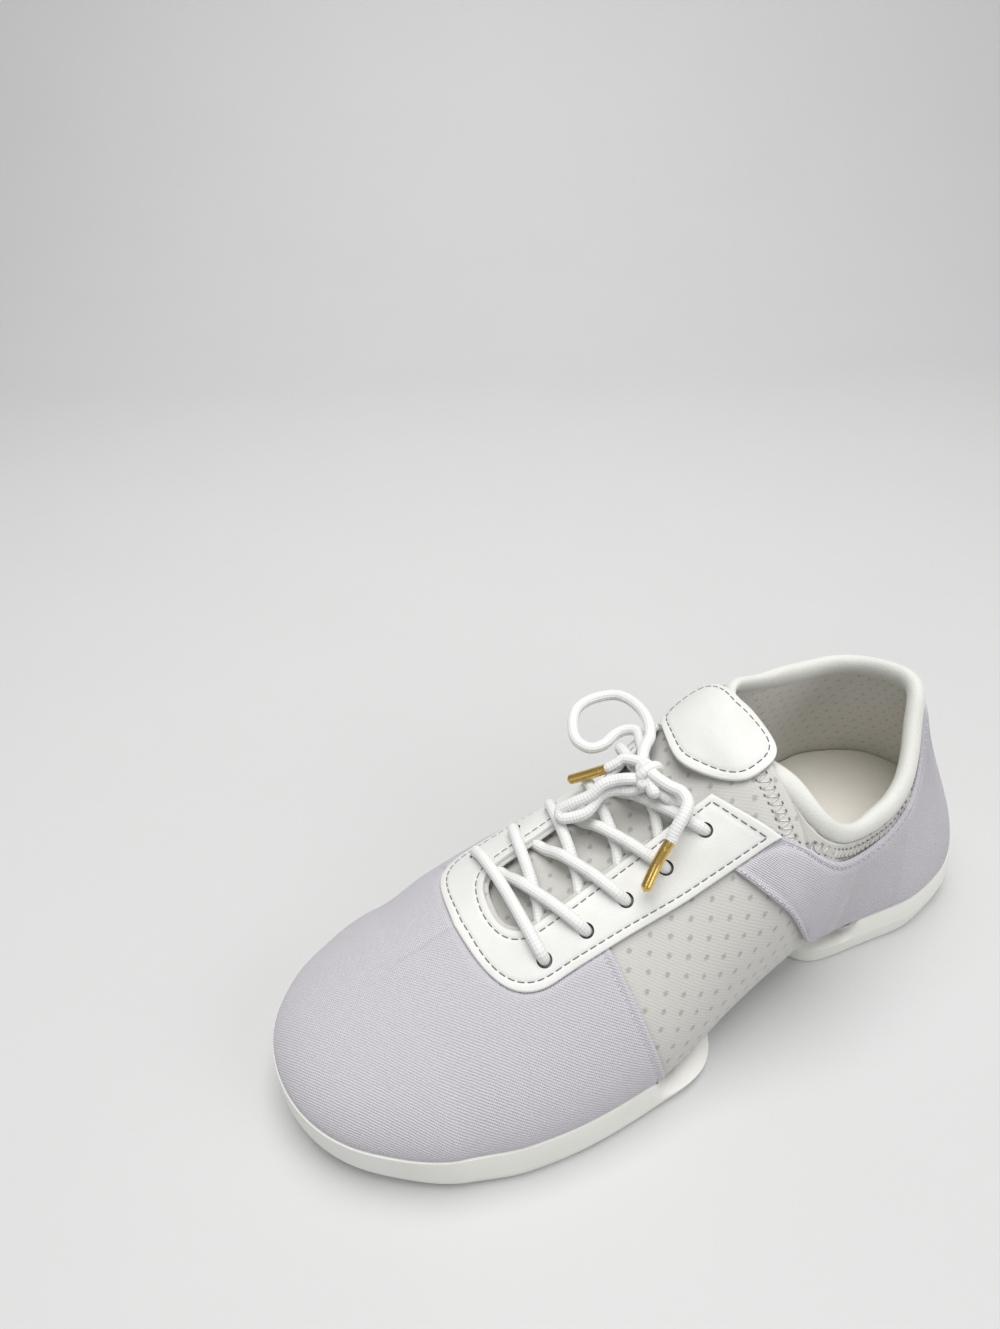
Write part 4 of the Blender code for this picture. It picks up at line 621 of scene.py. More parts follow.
class Paint:
    """A material whose shader is Principled; node() adds any other node."""

    def __init__(self, name, colour, roughness, fixed=()):
        self.surface = bpy.data.materials.new(name)
        self.surface.use_nodes = True
        self.tree = self.surface.node_tree
        self.shader = self.tree.nodes["Principled BSDF"]
        self.set(self.shader, "Base Color", colour)
        self.set(self.shader, "Roughness", roughness)
        for socket, value in fixed:
            self.set(self.shader, socket, value)

    def set(self, node, key, value):
        """Link or set one input; a key is its name, its place or its identifier."""
        by_id = [s for s in node.inputs if s.identifier == key]
        socket = by_id[0] if by_id else node.inputs[key]
        if isinstance(value, Wire):
            self.tree.links.new(value.socket, socket)
        elif isinstance(value, tuple) and len(value) == 3 and socket.type == "RGBA":
            socket.default_value = (*value, 1)
        else:
            socket.default_value = value

    def node(self, kind, settings=None, sockets=None, out=0):
        """Add a node: settings first, ramp stops among them, then its inputs."""
        made = self.tree.nodes.new(kind)
        for key, value in (settings or {}).items():
            if key == "stops":
                for k, (place, colour) in enumerate(value):
                    stop = made.color_ramp.elements[k] if k < 2 else made.color_ramp.elements.new(place)
                    stop.position, stop.color = place, (*colour, 1)
            else:
                setattr(made, key, value)
        for key, value in (sockets or {}).items():
            self.set(made, key, value)
        by_id = [s for s in made.outputs if s.identifier == out]
        return Wire(self, by_id[0] if by_id else made.outputs[out])

    def place(self):
        """Object coordinates."""
        return self.node("ShaderNodeTexCoord", out="Object")

    def cloth(self):
        """The piece's own two lengths, in millimetres."""
        parts = self.node("ShaderNodeUVMap", {"uv_map": "cloth"})
        split = self.node("ShaderNodeSeparateXYZ", None, {0: parts})
        other = Wire(self, split.socket.node.outputs[1])
        return split * 1000, other * 1000

    def noise(self, per_metre, detail=2, where=None, roughness=0.5):
        """Cloudy noise from 0 to 1."""
        return self.node("ShaderNodeTexNoise", None, {
            "Vector": where or self.place(), "Scale": per_metre, "Detail": detail, "Roughness": roughness})

    def mix(self, share, first, second):
        """Colour between two colours."""
        return self.node("ShaderNodeMix", {"data_type": "RGBA"}, {
            "Factor_Float": share, "A_Color": first, "B_Color": second}, "Result_Color")

    def bump(self, height, depth, strength=1.0):
        """Relief: height times depth in metres."""
        self.set(self.shader, "Normal", self.node("ShaderNodeBump", None, {
            "Height": height, "Distance": depth, "Strength": strength}))

    def base(self, colour):
        """Colour over the surface."""
        self.set(self.shader, "Base Color", colour)


def knit_paint():
    """Stretch knit: fine slanting ribs of two sine waves, and dimpled dots on a slanting grid; the ribs'
    grooves and the dimples are darkened with painted shade.
    """
    paint = Paint("dimpled_knit_cloth", (0.70, 0.69, 0.66), 0.92,
                  (("Sheen Weight", 0.15), ("Sheen Roughness", 0.5)))
    u, v = paint.cloth()
    ribs = ((u * 0.77 + v * 0.64) * (2 * pi / 0.80)).sine()
    cross = ((u * 0.64 - v * 0.77) * (2 * pi / 1.15)).sine()
    weave = ribs * 0.5 + ribs * cross * 0.35
    j = v / 4.3
    i = (u - 2.1 * j) / 7.4
    di, dj = i.centred(), j.centred()
    dx, dg = di * 7.4 + dj * 2.1, dj * 4.3 + di * 0.3
    spread = (dx * dx + dg * dg) ** 0.5
    ragged = paint.noise(900, 2)
    dot = 1 - (spread + ragged * 0.9 - 0.45).step(0.35, 1.15)
    fuzz = paint.noise(2600, 2)
    # painted shade: the weave term darkens the ribs' grooves; the fuzz is the yarn's own uneven tone
    shade = paint.mix(weave * 0.10 + fuzz * 0.35 + 0.2, (0.50, 0.49, 0.462), (0.61, 0.60, 0.57))
    # painted shade in the dimples: the dots mix towards a dark colour
    paint.base(paint.mix(dot * 0.75, shade, (0.33, 0.325, 0.31)))
    paint.bump(weave * 0.10 + fuzz * 0.12 - dot * 0.35, 0.35 * MM)
    return paint


def canvas_paint():
    """Plain-weave canvas: product of two sine waves a thread apart, with slubs and fuzz."""
    paint = Paint("lavender_canvas_cloth", (0.60, 0.58, 0.655), 0.88,
                  (("Sheen Weight", 0.2), ("Sheen Roughness", 0.4)))
    u, v = paint.cloth()
    drift = paint.noise(260, 2)
    over = ((u + drift * 0.25) * (2 * pi / 0.95)).sine()
    under = ((v + drift * 0.25) * (2 * pi / 0.95)).sine()
    weave = over * under
    slub = paint.noise(1400, 2)
    cloud = paint.noise(28, 3)
    shade = paint.mix(weave * 0.22 + slub * 0.5 + 0.22, (0.495, 0.475, 0.515), (0.645, 0.62, 0.66))
    paint.base(paint.mix(cloud.step(0.35, 0.75) * 0.25, shade, (0.565, 0.545, 0.575)))
    paint.bump(weave * 0.42 + slub * 0.2, 0.34 * MM)
    return paint


def leather_paint():
    """Smooth leather: pebbled grain of small cells, faint clouds of gloss."""
    paint = Paint("white_leather_grain", (0.79, 0.79, 0.765), 0.42, (("Specular IOR Level", 0.4),))
    cells = paint.node("ShaderNodeTexVoronoi", {"feature": "DISTANCE_TO_EDGE"}, {
        "Vector": paint.place(), "Scale": 1500})
    cloud = paint.noise(60, 3)
    paint.base(paint.mix(cloud.step(0.3, 0.8), (0.715, 0.715, 0.69), (0.67, 0.67, 0.64)))
    paint.set(paint.shader, "Roughness", cloud * 0.16 + 0.36)
    paint.bump(cells.step(0.0, 0.25) * 0.6 + paint.noise(700, 2) * 0.4, 0.035 * MM)
    return paint


def binding_paint():
    """Brushed knit of the collar: a soft nap of fine fuzz with faint clouds."""
    paint = Paint("collar_knit_nap", (0.74, 0.735, 0.70), 0.95,
                  (("Sheen Weight", 0.3), ("Sheen Roughness", 0.5)))
    fuzz = paint.noise(1500, 3)
    cloud = paint.noise(120, 2)
    shade = paint.mix(fuzz, (0.60, 0.595, 0.56), (0.73, 0.725, 0.69))
    paint.base(paint.mix(cloud.step(0.4, 0.8) * 0.3, shade, (0.68, 0.675, 0.64)))
    paint.bump(fuzz * 0.6 + paint.noise(4000, 1) * 0.3, 0.25 * MM)
    return paint


def lining_paint():
    """Inner lining: grey-beige mesh with the knit's dots showing through."""
    paint = Paint("lining_mesh", (0.66, 0.645, 0.60), 0.95)
    u, v = paint.cloth()
    i, j = u / 5.2, v / 4.3
    di, dj = (i + j * 0.5).centred() * 5.2, j.centred() * 4.3
    dot = 1 - ((di * di + dj * dj) ** 0.5 + paint.noise(900, 2) * 0.8 - 0.4).step(0.3, 1.0)
    fuzz = paint.noise(1300, 2)
    ground = paint.mix(fuzz, (0.62, 0.60, 0.555), (0.74, 0.725, 0.68))
    paint.base(paint.mix(dot * 0.5, ground, (0.42, 0.40, 0.36)))
    paint.bump(fuzz - dot * 0.6, 0.2 * MM)
    return paint


def insole_paint():
    """Cream insole cloth: short nap with faint pressed clouds."""
    paint = Paint("cream_insole_nap", (0.74, 0.71, 0.64), 0.95)
    nap, cloud = paint.noise(2200, 2), paint.noise(40, 2)
    shade = paint.mix(nap, (0.67, 0.645, 0.58), (0.79, 0.765, 0.70))
    paint.base(paint.mix(cloud.step(0.4, 0.8) * 0.3, shade, (0.68, 0.655, 0.60)))
    paint.bump(nap, 0.15 * MM)
    return paint


def rubber_paint():
    """Moulded white rubber: very fine grain, slightly warm, with faint clouds of tone and gloss."""
    paint = Paint("white_rubber_moulded", (0.80, 0.79, 0.745), 0.5, (("Specular IOR Level", 0.35),))
    grain, cloud = paint.noise(1800, 2), paint.noise(35, 3)
    paint.base(paint.mix(cloud.step(0.35, 0.8), (0.815, 0.805, 0.765), (0.765, 0.755, 0.705)))
    paint.set(paint.shader, "Roughness", cloud * 0.2 + 0.42)
    paint.bump(grain, 0.04 * MM)
    return paint


def lace_paint():
    """Round cotton lace: strands that wind both ways round it, from two crossed sine waves."""
    paint = Paint("white_lace_braid", (0.85, 0.85, 0.835), 0.85,
                  (("Sheen Weight", 0.25), ("Sheen Roughness", 0.4)))
    u, v = paint.cloth()
    turns = 2 * pi / 11.94 * 6
    left = (u * (2 * pi / 2.1) + v * turns).sine()
    right = (u * (2 * pi / 2.1) - v * turns).sine()
    braid = left * right
    fuzz = paint.noise(2600, 2)
    paint.base(paint.mix(braid * 0.25 + fuzz * 0.5 + 0.25, (0.68, 0.68, 0.665), (0.82, 0.82, 0.805)))
    paint.bump(braid * 0.35 + fuzz * 0.3, 0.22 * MM)
    return paint


def gold_paint():
    """Polished gold-coloured brass with fine brushing."""
    paint = Paint("gold_brass_polish", (0.74, 0.50, 0.15), 0.2, (("Metallic", 1.0),))
    brush = paint.noise(900, 2)
    paint.set(paint.shader, "Roughness", brush * 0.16 + 0.13)
    paint.bump(brush, 0.02 * MM)
    return paint


def thread_paint(name, dark, light):
    """Sewing thread: its ends are darkened with painted shade where they enter the needle holes."""
    paint = Paint(name, light, 0.7)
    u, _ = paint.cloth()
    # painted shade: the stitch's ends mix towards the dark colour, the shade inside the needle holes
    end = (u / 1000).size().step(0.35, 0.8)
    paint.base(paint.mix(end, light, dark))
    return paint


def plain_paint(name, colour, roughness):
    """Plain matt finish with a breath of unevenness."""
    paint = Paint(name, colour, roughness)
    cloud = paint.noise(12, 3)
    lower = tuple(0.97 * c for c in colour)
    paint.base(paint.mix(cloud, lower, colour))
    return paint


# The frame, the camera and the light
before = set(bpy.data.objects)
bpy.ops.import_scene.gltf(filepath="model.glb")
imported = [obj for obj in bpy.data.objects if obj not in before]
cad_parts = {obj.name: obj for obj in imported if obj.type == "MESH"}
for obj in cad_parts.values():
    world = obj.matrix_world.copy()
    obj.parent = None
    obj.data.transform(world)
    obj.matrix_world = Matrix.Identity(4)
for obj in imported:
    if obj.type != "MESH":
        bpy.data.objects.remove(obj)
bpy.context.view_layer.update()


def camera():
    """Camera of the photograph: a wide lens above the toe's outer side, rolled a little."""
    forward = np.array([-0.2821, -0.7241, -0.6293])
    right = np.array([-0.9318, 0.3630, 0.0])
    down = np.cross(forward, right)
    c, s = np.cos(radians(-1.857)), np.sin(radians(-1.857))
    right, down = c * right - s * down, s * right + c * down
    lens = bpy.data.cameras.new("camera")
    lens.lens, lens.sensor_width, lens.clip_start = 36 * 766 / 1329, 36, 0.01
    eye = bpy.data.objects.new("camera", lens)
    turn = np.stack([right, -down, -forward], axis=1)
    place = Matrix(turn.tolist()).to_4x4()
    place.translation = (np.array([235.3, 129.5, 261.0]) * MM - ORIGIN).tolist()
    eye.matrix_world = place
    bpy.context.scene.collection.objects.link(eye)
    bpy.context.scene.camera = eye


def lamp(name, place, aim, size, watts, colour=(1, 1, 1)):
    """Square soft light at a place, aimed at a point."""
    light = bpy.data.lights.new(name, "AREA")
    light.shape, light.size, light.energy, light.color = "SQUARE", size, watts, colour
    made = bpy.data.objects.new(name, light)
    z = unit(np.array(place, float) - np.array(aim, float))
    x = unit(np.cross((0.03, 1.0, 0.02), z))
    turn = Matrix(np.stack([x, np.cross(z, x), z], axis=1).tolist()).to_4x4()
    turn.translation = place
    made.matrix_world = turn
    bpy.context.scene.collection.objects.link(made)


def studio():
    """Plain pale floor that sweeps up behind the shoe, soft lights and a bright surround."""
    world = bpy.data.worlds.new("studio")
    world.use_nodes = True
    sky = world.node_tree.nodes["Background"]
    sky.inputs["Color"].default_value = (0.93, 0.95, 0.97, 1)
    sky.inputs["Strength"].default_value = 0.42
    bpy.context.scene.world = world
    bpy.context.scene.view_settings.view_transform = "Standard"
    behind = unit(np.array([-0.2821, -0.7241]))
    across = np.array([-behind[1], behind[0]])
    bend = np.radians(np.linspace(0, 90, 24))
    flat, rise, radius = 0.62, 5.0, 0.45
    ahead = np.concatenate([[-7.0, -0.6, 0.0, 0.3], flat + radius * np.sin(bend), [flat + radius]])
    up = np.concatenate([[0, 0, 0, 0], radius * (1 - np.cos(bend)), [rise]])
    wide = np.linspace(-7, 7, 5)
    plan = ahead[:, None, None] * behind + wide[None, :, None] * across
    grid = np.concatenate([plan, up[:, None, None] + 0 * plan[..., :1]], -1) + ORIGIN
    paper = plain_paint("pale_floor", (0.585, 0.588, 0.583), 0.6)
    floor = piece("floor", grid, quads(len(ahead), len(wide))[:, ::-1], paper)
    lamp("soft_top", (0.05, -0.15, 1.25), (0, 0, 0), 0.9, 15.0, (1, 0.995, 0.985))
    lamp("soft_side", (-0.75, 0.85, 0.75), (0, 0, 0.03), 0.9, 5.0, (1, 0.995, 0.99))
    lamp("soft_front", (0.9, 0.75, 0.7), (0, 0, 0.03), 0.8, 1.2, (1, 0.99, 0.98))


camera()
KNIT, CLOTH, HIDE, NAP = knit_paint(), canvas_paint(), leather_paint(), binding_paint()
LINING, FOAM, RUBBER, LACE, GOLD = lining_paint(), insole_paint(), rubber_paint(), lace_paint(), gold_paint()
# In each thread the first colour is painted shade at its ends, in the needle holes; the second is the
# thread's own colour
DARK_THREAD = thread_paint("stay_thread_grey", (0.012, 0.012, 0.016), (0.16, 0.155, 0.17))
PALE_THREAD = thread_paint("seam_thread_pale", (0.22, 0.21, 0.24), (0.62, 0.60, 0.66))
KNIT_THREAD = thread_paint("collar_thread_pale", (0.36, 0.355, 0.34), (0.64, 0.635, 0.60))
# painted shade for the needle holes of the collar's seam
NEEDLE = plain_paint("needle_hole_shade", (0.16, 0.155, 0.145), 0.9)
# painted shade: near-black colour for the depth of the eyelet holes
SHADE_IN_EYELETS = plain_paint("eyelet_shade", (0.035, 0.033, 0.03), 0.8)


def finished(made, slot, *nodes):
    """Ride on the shoe and stand for the nodes, which it hides; the slot is not used."""
    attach(made, "root")
    if nodes:
        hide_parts(*nodes)
    return made


# Lace
def tied(name, route, nodes, in_tip=0.0):
    """Free stretch of lace along a route in millimetres.

    The last stretch, in_tip long, is squeezed to fit inside the metal tip.
    """
    line = curve_through(np.array(route) * MM, 0.7 * MM)
    left = np.linalg.norm(np.diff(line, axis=0), axis=1)[::-1].cumsum()[::-1]
    squeeze = smooth_step((in_tip + 1.5 * MM - np.append(left, 0)) / (1.5 * MM)) if in_tip else 0 * line[:, 0]
    radius = LACE_RADIUS + (TIP_BORE - LACE_RADIUS) * squeeze
    made = finished(tube(name, line, radius, LACE), "white_lace", *nodes)
    return made


def aglet(name, route, node):
    """Metal tip: a round tube with a rolled rim and a rounded nose."""
    line = curve_through(np.array(route) * MM, 0.25 * MM)
    run = np.linspace(0, 1, len(line))
    rim = 0.12 * MM * np.exp(-((run - 0.03) / 0.02) ** 2) + 0.08 * MM * np.exp(-((run - 0.2) / 0.015) ** 2)
    nose = np.sqrt(np.clip(1 - ((run - 0.93) / 0.07).clip(0, 1) ** 2, 0.05, 1))
    return finished(tube(name, line, (1.62 * MM + rim) * nose, GOLD, 20), "gold_metal", node)


def bow():
    """Knot, loops and ends of the lace with their metal tips."""
    tip_short = aglet("lace_tip_short", SHORT_AGLET, "aglet_short")
    tip_long = aglet("lace_tip_long", LONG_AGLET, "aglet_long")
    core = np.array(((132.4, -13.6, 81.0), (133.2, -9.8, 82.4), (134.1, -5.2, 82.4), (135.2, -0.6, 81.2)))
    core = curve_through(core * MM, 0.6 * MM)
    knot = finished(tube("lace_knot", core, 2.3 * MM, LACE), "white_lace", "knot")
    turn = np.linspace(0, 2 * pi, 49)[:-1]
    centre = np.array([133.6, -7.2, 82.0]) * MM
    ring = (centre + np.outer(np.cos(turn), [3.7 * MM, 0.9 * MM, 0])
            + np.outer(np.sin(turn), [0, 0.3 * MM, 3.5 * MM]))
    ring = np.concatenate([ring, ring[:1]])
    advance = np.linspace(0, 1, 49)[:, None] * np.array([0, 2.2, 0]) * MM
    wrap = finished(tube("lace_wrap", ring + advance, 1.75 * MM, LACE), "white_lace")
    round_route = (((134.5, -9.5, 81.6), (131.8, -13.4, 82.6)) + ROUND_LOOP
                   + ((126.3, -22.5, 78.0), (129.5, -15.5, 78.6), (132.4, -10.0, 79.6)))
    tied("lace_loop_round", round_route, ("loop_round",))
    narrow_route = ((135.0, -5.5, 81.4),) + NARROW_LOOP + ((136.5, -5.5, 78.8),)
    tied("lace_loop_narrow", narrow_route, ("loop_narrow",))
    short = (((133.0, -3.2, 82.0), (132.0, -8.0, 83.2), (133.8, -12.8, 82.2)) + SHORT_END
             + SHORT_AGLET[:2] + ((151.6, -22.9, 71.7),))
    tied("lace_end_short", short, ("end_short",), 11.5 * MM)
    long = ((134.0, -6.0, 84.4), (133.2, -2.0, 84.6)) + LONG_END + LONG_AGLET[:2] + ((147.5, 19.4, 68.0),)
    tied("lace_end_long", long, ("end_long",), 12.5 * MM)


def lace_line(stops):
    """Smooth line through places over the instep: along, girth and lift in millimetres."""
    a = np.array(stops, float)
    return curve_through(instep(a[:, 0], a[:, 1] * MM, a[:, 2] * MM), 0.7 * MM)


def lacing():
    """Crossed strands from under one side of the eyestay over the throat into the next eyelet
    across, the bar between the front eyelets, and the two strands that rise to the knot."""
    lateral, medial = eyelet_places()
    over = (LIFT + LEATHER + GAP + LACE_RADIUS) / MM
    for k in range(EYELETS_PER_SIDE - 1):
        lines = []
        for start, end, raised in ((lateral[k], medial[k + 1], 0.0), (medial[k], lateral[k + 1], 1.4)):
            hand = 1 if start[1] > 0 else -1
            steps = (
                (19.0, -1.3), (15.0, -1.3), (11.0, -1.1), (7.0, -0.9), (4.0, -0.3 + 0.5 * raised),
                (0.0, 1.0 + raised), (-4.0, 2.2 + 0.5 * raised), (-7.5, 3.4), (-10.5, over + 0.1),
                (-14.5, over + 0.2), (-17.6, over - 0.1), (-19.8, over - 1.1), (-21.4, over - 2.9),
                (-22.2, 0.0))
            total = 7.0 - steps[-1][0]
            stops = []
            for girth, lift in steps:
                share = max((7.0 - girth) / total, 0)
                back = 0.016 * np.clip(1 - (girth - 7) / 12, 0, 1)
                along = start[0] - back + (end[0] - start[0] + 0.016) * share
                stops.append((along, hand * girth, lift))
            lines.append(lace_line(stops))
        for side, line in zip(("low", "high"), lines):
            made = tube("lace_strand_%d_%s" % (k + 1, side), line, LACE_RADIUS, LACE)
            finished(made, "white_lace", *(("lace_cross_%d" % (k + 1),) if side == "high" else ()))
    x0, x1 = lateral[0][0], medial[0][0]
    rows = ((22.0, -1.0), (21.6, 1.2), (20.2, over - 0.9), (17.5, over), (12.0, over + 0.1),
            (6.0, over - 0.9), (0.0, over - 1.1), (-6.0, over - 0.9), (-12.0, over + 0.1),
            (-17.5, over), (-20.2, over - 0.9), (-21.6, 1.2), (-22.0, -1.0))
    stops = [(x0 + (x1 - x0) * (22 - g) / 44, g, lift) for g, lift in rows]
    finished(tube("lace_bar_front", lace_line(stops), LACE_RADIUS, LACE), "white_lace", "lace_bar")
    for side, place, hand in (("lateral", lateral[-1], 1), ("medial", medial[-1], -1)):
        along = np.array([place[0], place[0] + 0.004, place[0] + 0.010])
        under = instep(along, hand * np.array([20, 15.5, 11.0]) * MM, np.array([-1.2, -1.0, 0.6]) * MM)
        first, second = (2.5, -2.5) if hand > 0 else (-13.5, -8.5)
        knot = np.array([[131.5, first, 79.4], [133.6, second, 81.0]]) * MM
        line = curve_through(np.concatenate([under, knot]), 0.7 * MM)
        finished(tube("lace_riser_" + side, line, LACE_RADIUS, LACE), "white_lace")


# Upper
def ways_even(count):
    """Ways from heel to toe, closer where the collar's edge turns at the neck."""
    fine = np.unique(np.concatenate([np.linspace(0, 3, 1501), NECKS[0] + np.linspace(-0.02, 0.002, 120)]))
    metric = np.zeros(len(fine) - 1)
    for side in (fine, 6 - fine):
        for t in (0, 0.6, 1):
            metric += np.linalg.norm(np.diff(outer(side, t + 0 * side), axis=0), axis=-1)
    run = np.concatenate([[0], np.cumsum(metric + 0.05 * MM)])
    return np.interp(np.linspace(0, run[-1], count), run, fine)


def both_sides(ways):
    """The ways of one side and their mirror, once round the shoe."""
    return np.concatenate([ways, 6 - ways[-2:0:-1]])


def throat_dip(way, t):
    """How far the knit sinks under the lacing: a smooth trough in girth and along."""
    along, _ = axis_of(way)
    girth = np.where(along >= NECK, length_at(way, 1 + 0 * way) - length_at(way, t), 1)
    across = 1 - smooth_step((girth - 12 * MM) / (13 * MM))
    span = smooth_step((along - 0.418) / 0.045) * (1 - smooth_step((along - 0.700) / 0.036))
    return (2.6 + 1.6 * (1 - smooth_step(girth / (12 * MM)))) * MM * across * span


def shell(name, depth, thick, paint, count, rows):
    """Layer of the upper at a depth under its outer side, from the turned-in margin round the
    foot's corner (a quarter circle) up to the collar's edge; it closes along the ridge."""
    ways = both_sides(ways_even(count))
    along, turn = axis_of(ways)
    foot = foot_out(ways)
    heel = np.clip((0.290 - along) / 0.07, 0, 1)
    fore = np.clip((along - 0.550) / 0.10, 0, 1)
    margin = (foot - 16 * MM) * np.sqrt(np.maximum(heel, fore))
    angle = np.radians([0, 0, 15, 30, 45, 60, 75])
    grids = []
    for deep in (depth, depth + thick):
        low = []
        for k, a in enumerate(angle):
            out = margin if k == 0 else foot - CORNER * (1 - np.sin(a)) - deep * np.sin(a)
            flat = np.where(k == 0, margin, foot - CORNER * (1 - np.sin(a)))
            x = along * LENGTH + flat * np.cos(turn)
            up = bed(x) + (0 if k == 0 else CORNER * (1 - np.cos(a))) + deep * np.cos(a)
            low.append(np.stack([along * LENGTH + out * np.cos(turn), out * np.sin(turn), up], -1))
        t = between(ways[:, None], 0, 1, np.linspace(0, 1, rows)[None, :])
        way = ways[:, None] + 0 * t
        high = skin(way, t, -(deep + throat_dip(way, t)))
        mirror = high[(-np.arange(len(ways))) % len(ways), -1]
        high[:, -1] = np.where((along >= NECK)[:, None], 0.5 * (high[:, -1] + mirror), high[:, -1])
        at_toe = along >= TOE_AXIS - 1e-6
        high[:, -1] = np.where(at_toe[:, None], high[:, -1][at_toe].mean(axis=0), high[:, -1])
        grids.append(np.concatenate([np.stack(low, axis=1), high], axis=1))
    run = length_at(way, t)
    total = np.where(along >= NECK, length_at(ways, 1 + 0 * ways), 0)
    side = np.where(ways < 3, 1, -1)
    girth_at_neck = [float(length_at(np.array([n]), np.array([1.0]))[0]) for n in NECKS]
    total = np.where(along >= NECK, total, np.where(ways < 3, girth_at_neck[0], girth_at_neck[1]))
    v = side[:, None] * (total[:, None] - run)
    tucked = side[:, None] * (total[:, None] + 1 * MM * np.arange(len(angle), 0, -1))
    v = np.concatenate([tucked, v], axis=1)
    u = along * LENGTH + np.where(along <= HEEL_AXIS, -1, 1) * foot * 0.8 * np.abs(np.abs(turn) - pi / 2)
    uv = np.stack([u[:, None] + 0 * v, v], -1)
    top, under = grids
    rows_n, columns = top.shape[:2]
    count_n = rows_n * columns
    number = np.arange(count_n).reshape(rows_n, columns)
    faces = quads(rows_n, columns, True)
    open_edge = ~((along >= NECK) & (np.roll(along, -1) >= NECK))
    first = strip(number[:, 0][::-1], number[:, 0][::-1] + count_n)
    last = strip(number[:, -1], number[:, -1] + count_n)[open_edge]
    faces = np.concatenate([faces, faces[:, ::-1] + count_n, first, last])
    points = np.concatenate([top.reshape(-1, 3), under.reshape(-1, 3)])
    if volume(points, faces) < 0:
        faces = faces[:, ::-1]
    return piece(name, points, faces, paint, np.concatenate([uv.reshape(-1, 2)] * 2), close=MERGE)


def rounded(distance, radius):
    """Height share of a rounded edge: a quarter circle over the radius."""
    d = np.clip(distance / radius, 0, 1)
    return np.sqrt(np.clip(1 - (1 - d) ** 2, 0, 1))


def groove(distance, middle, width):
    """Bell-shaped dip at a distance from an edge."""
    return np.exp(-((distance - middle) / width) ** 2)


def folded(thick, distance):
    """Canvas thickness with the fold raised along its edge and the row that its seam presses in."""
    raised = thick + 0.30 * MM * groove(distance, 1.2 * MM, 0.9 * MM)
    return raised - 0.28 * MM * groove(distance, 2.5 * MM, 0.5 * MM)


def leather_thickness(edge):
    """Leather thickness by the distance from its edge: rounded there, a seam line pressed in."""
    return LEATHER * (0.25 + 0.75 * rounded(edge, 0.55 * MM)) - 0.24 * MM * groove(edge, 2.6 * MM, 0.45 * MM)


def canvas_seam(name, line, out):
    """Row of pale stitches along a line on the canvas."""
    made = stitches(name, line, out, *CANVAS_STITCH, PALE_THREAD, 0.02 * MM)
    finished(made, "lavender_canvas")


def leather_seam(name, line, out):
    """Row of dark stitches along a line on the leather."""
    finished(stitches(name, line, out, *LEATHER_STITCH, DARK_THREAD), "white_leather")


def stay_outline():
    """Eyestay's outer edge in the flattened plane of along and girth, in metres."""
    angle = np.linspace(0, pi, 181)
    arc = np.stack(stay_front(angle, 0), -1) * (LENGTH, 1)
    x = np.linspace(STAY_REAR, STAY_BEND, 60, endpoint=False)
    side = np.stack([x * LENGTH, stay_girth(x)], -1)
    return np.concatenate([side, arc, (side * (1, -1))[::-1]])


def stay_gap(x, girth):
    """Distance outside the eyestay's outer edge (negative inside), in the flattened plane."""
    line = stay_outline()
    flat = np.stack([x, girth], -1).reshape(-1, 1, 2)
    gap = np.sqrt(((flat - line[None]) ** 2).sum(-1).min(axis=1)).reshape(np.shape(x))
    half = len(line) // 2
    order = np.argsort(line[:half, 0])
    left = np.interp(x, line[:half][order, 0], line[:half][order, 1], right=0)
    other = line[half:][::-1]
    order = np.argsort(other[:, 0])
    right = np.interp(x, other[order, 0], -other[order, 1], right=0)
    inside = np.where(girth >= 0, girth < left, -girth < right)
    return np.where(inside, -gap, gap)


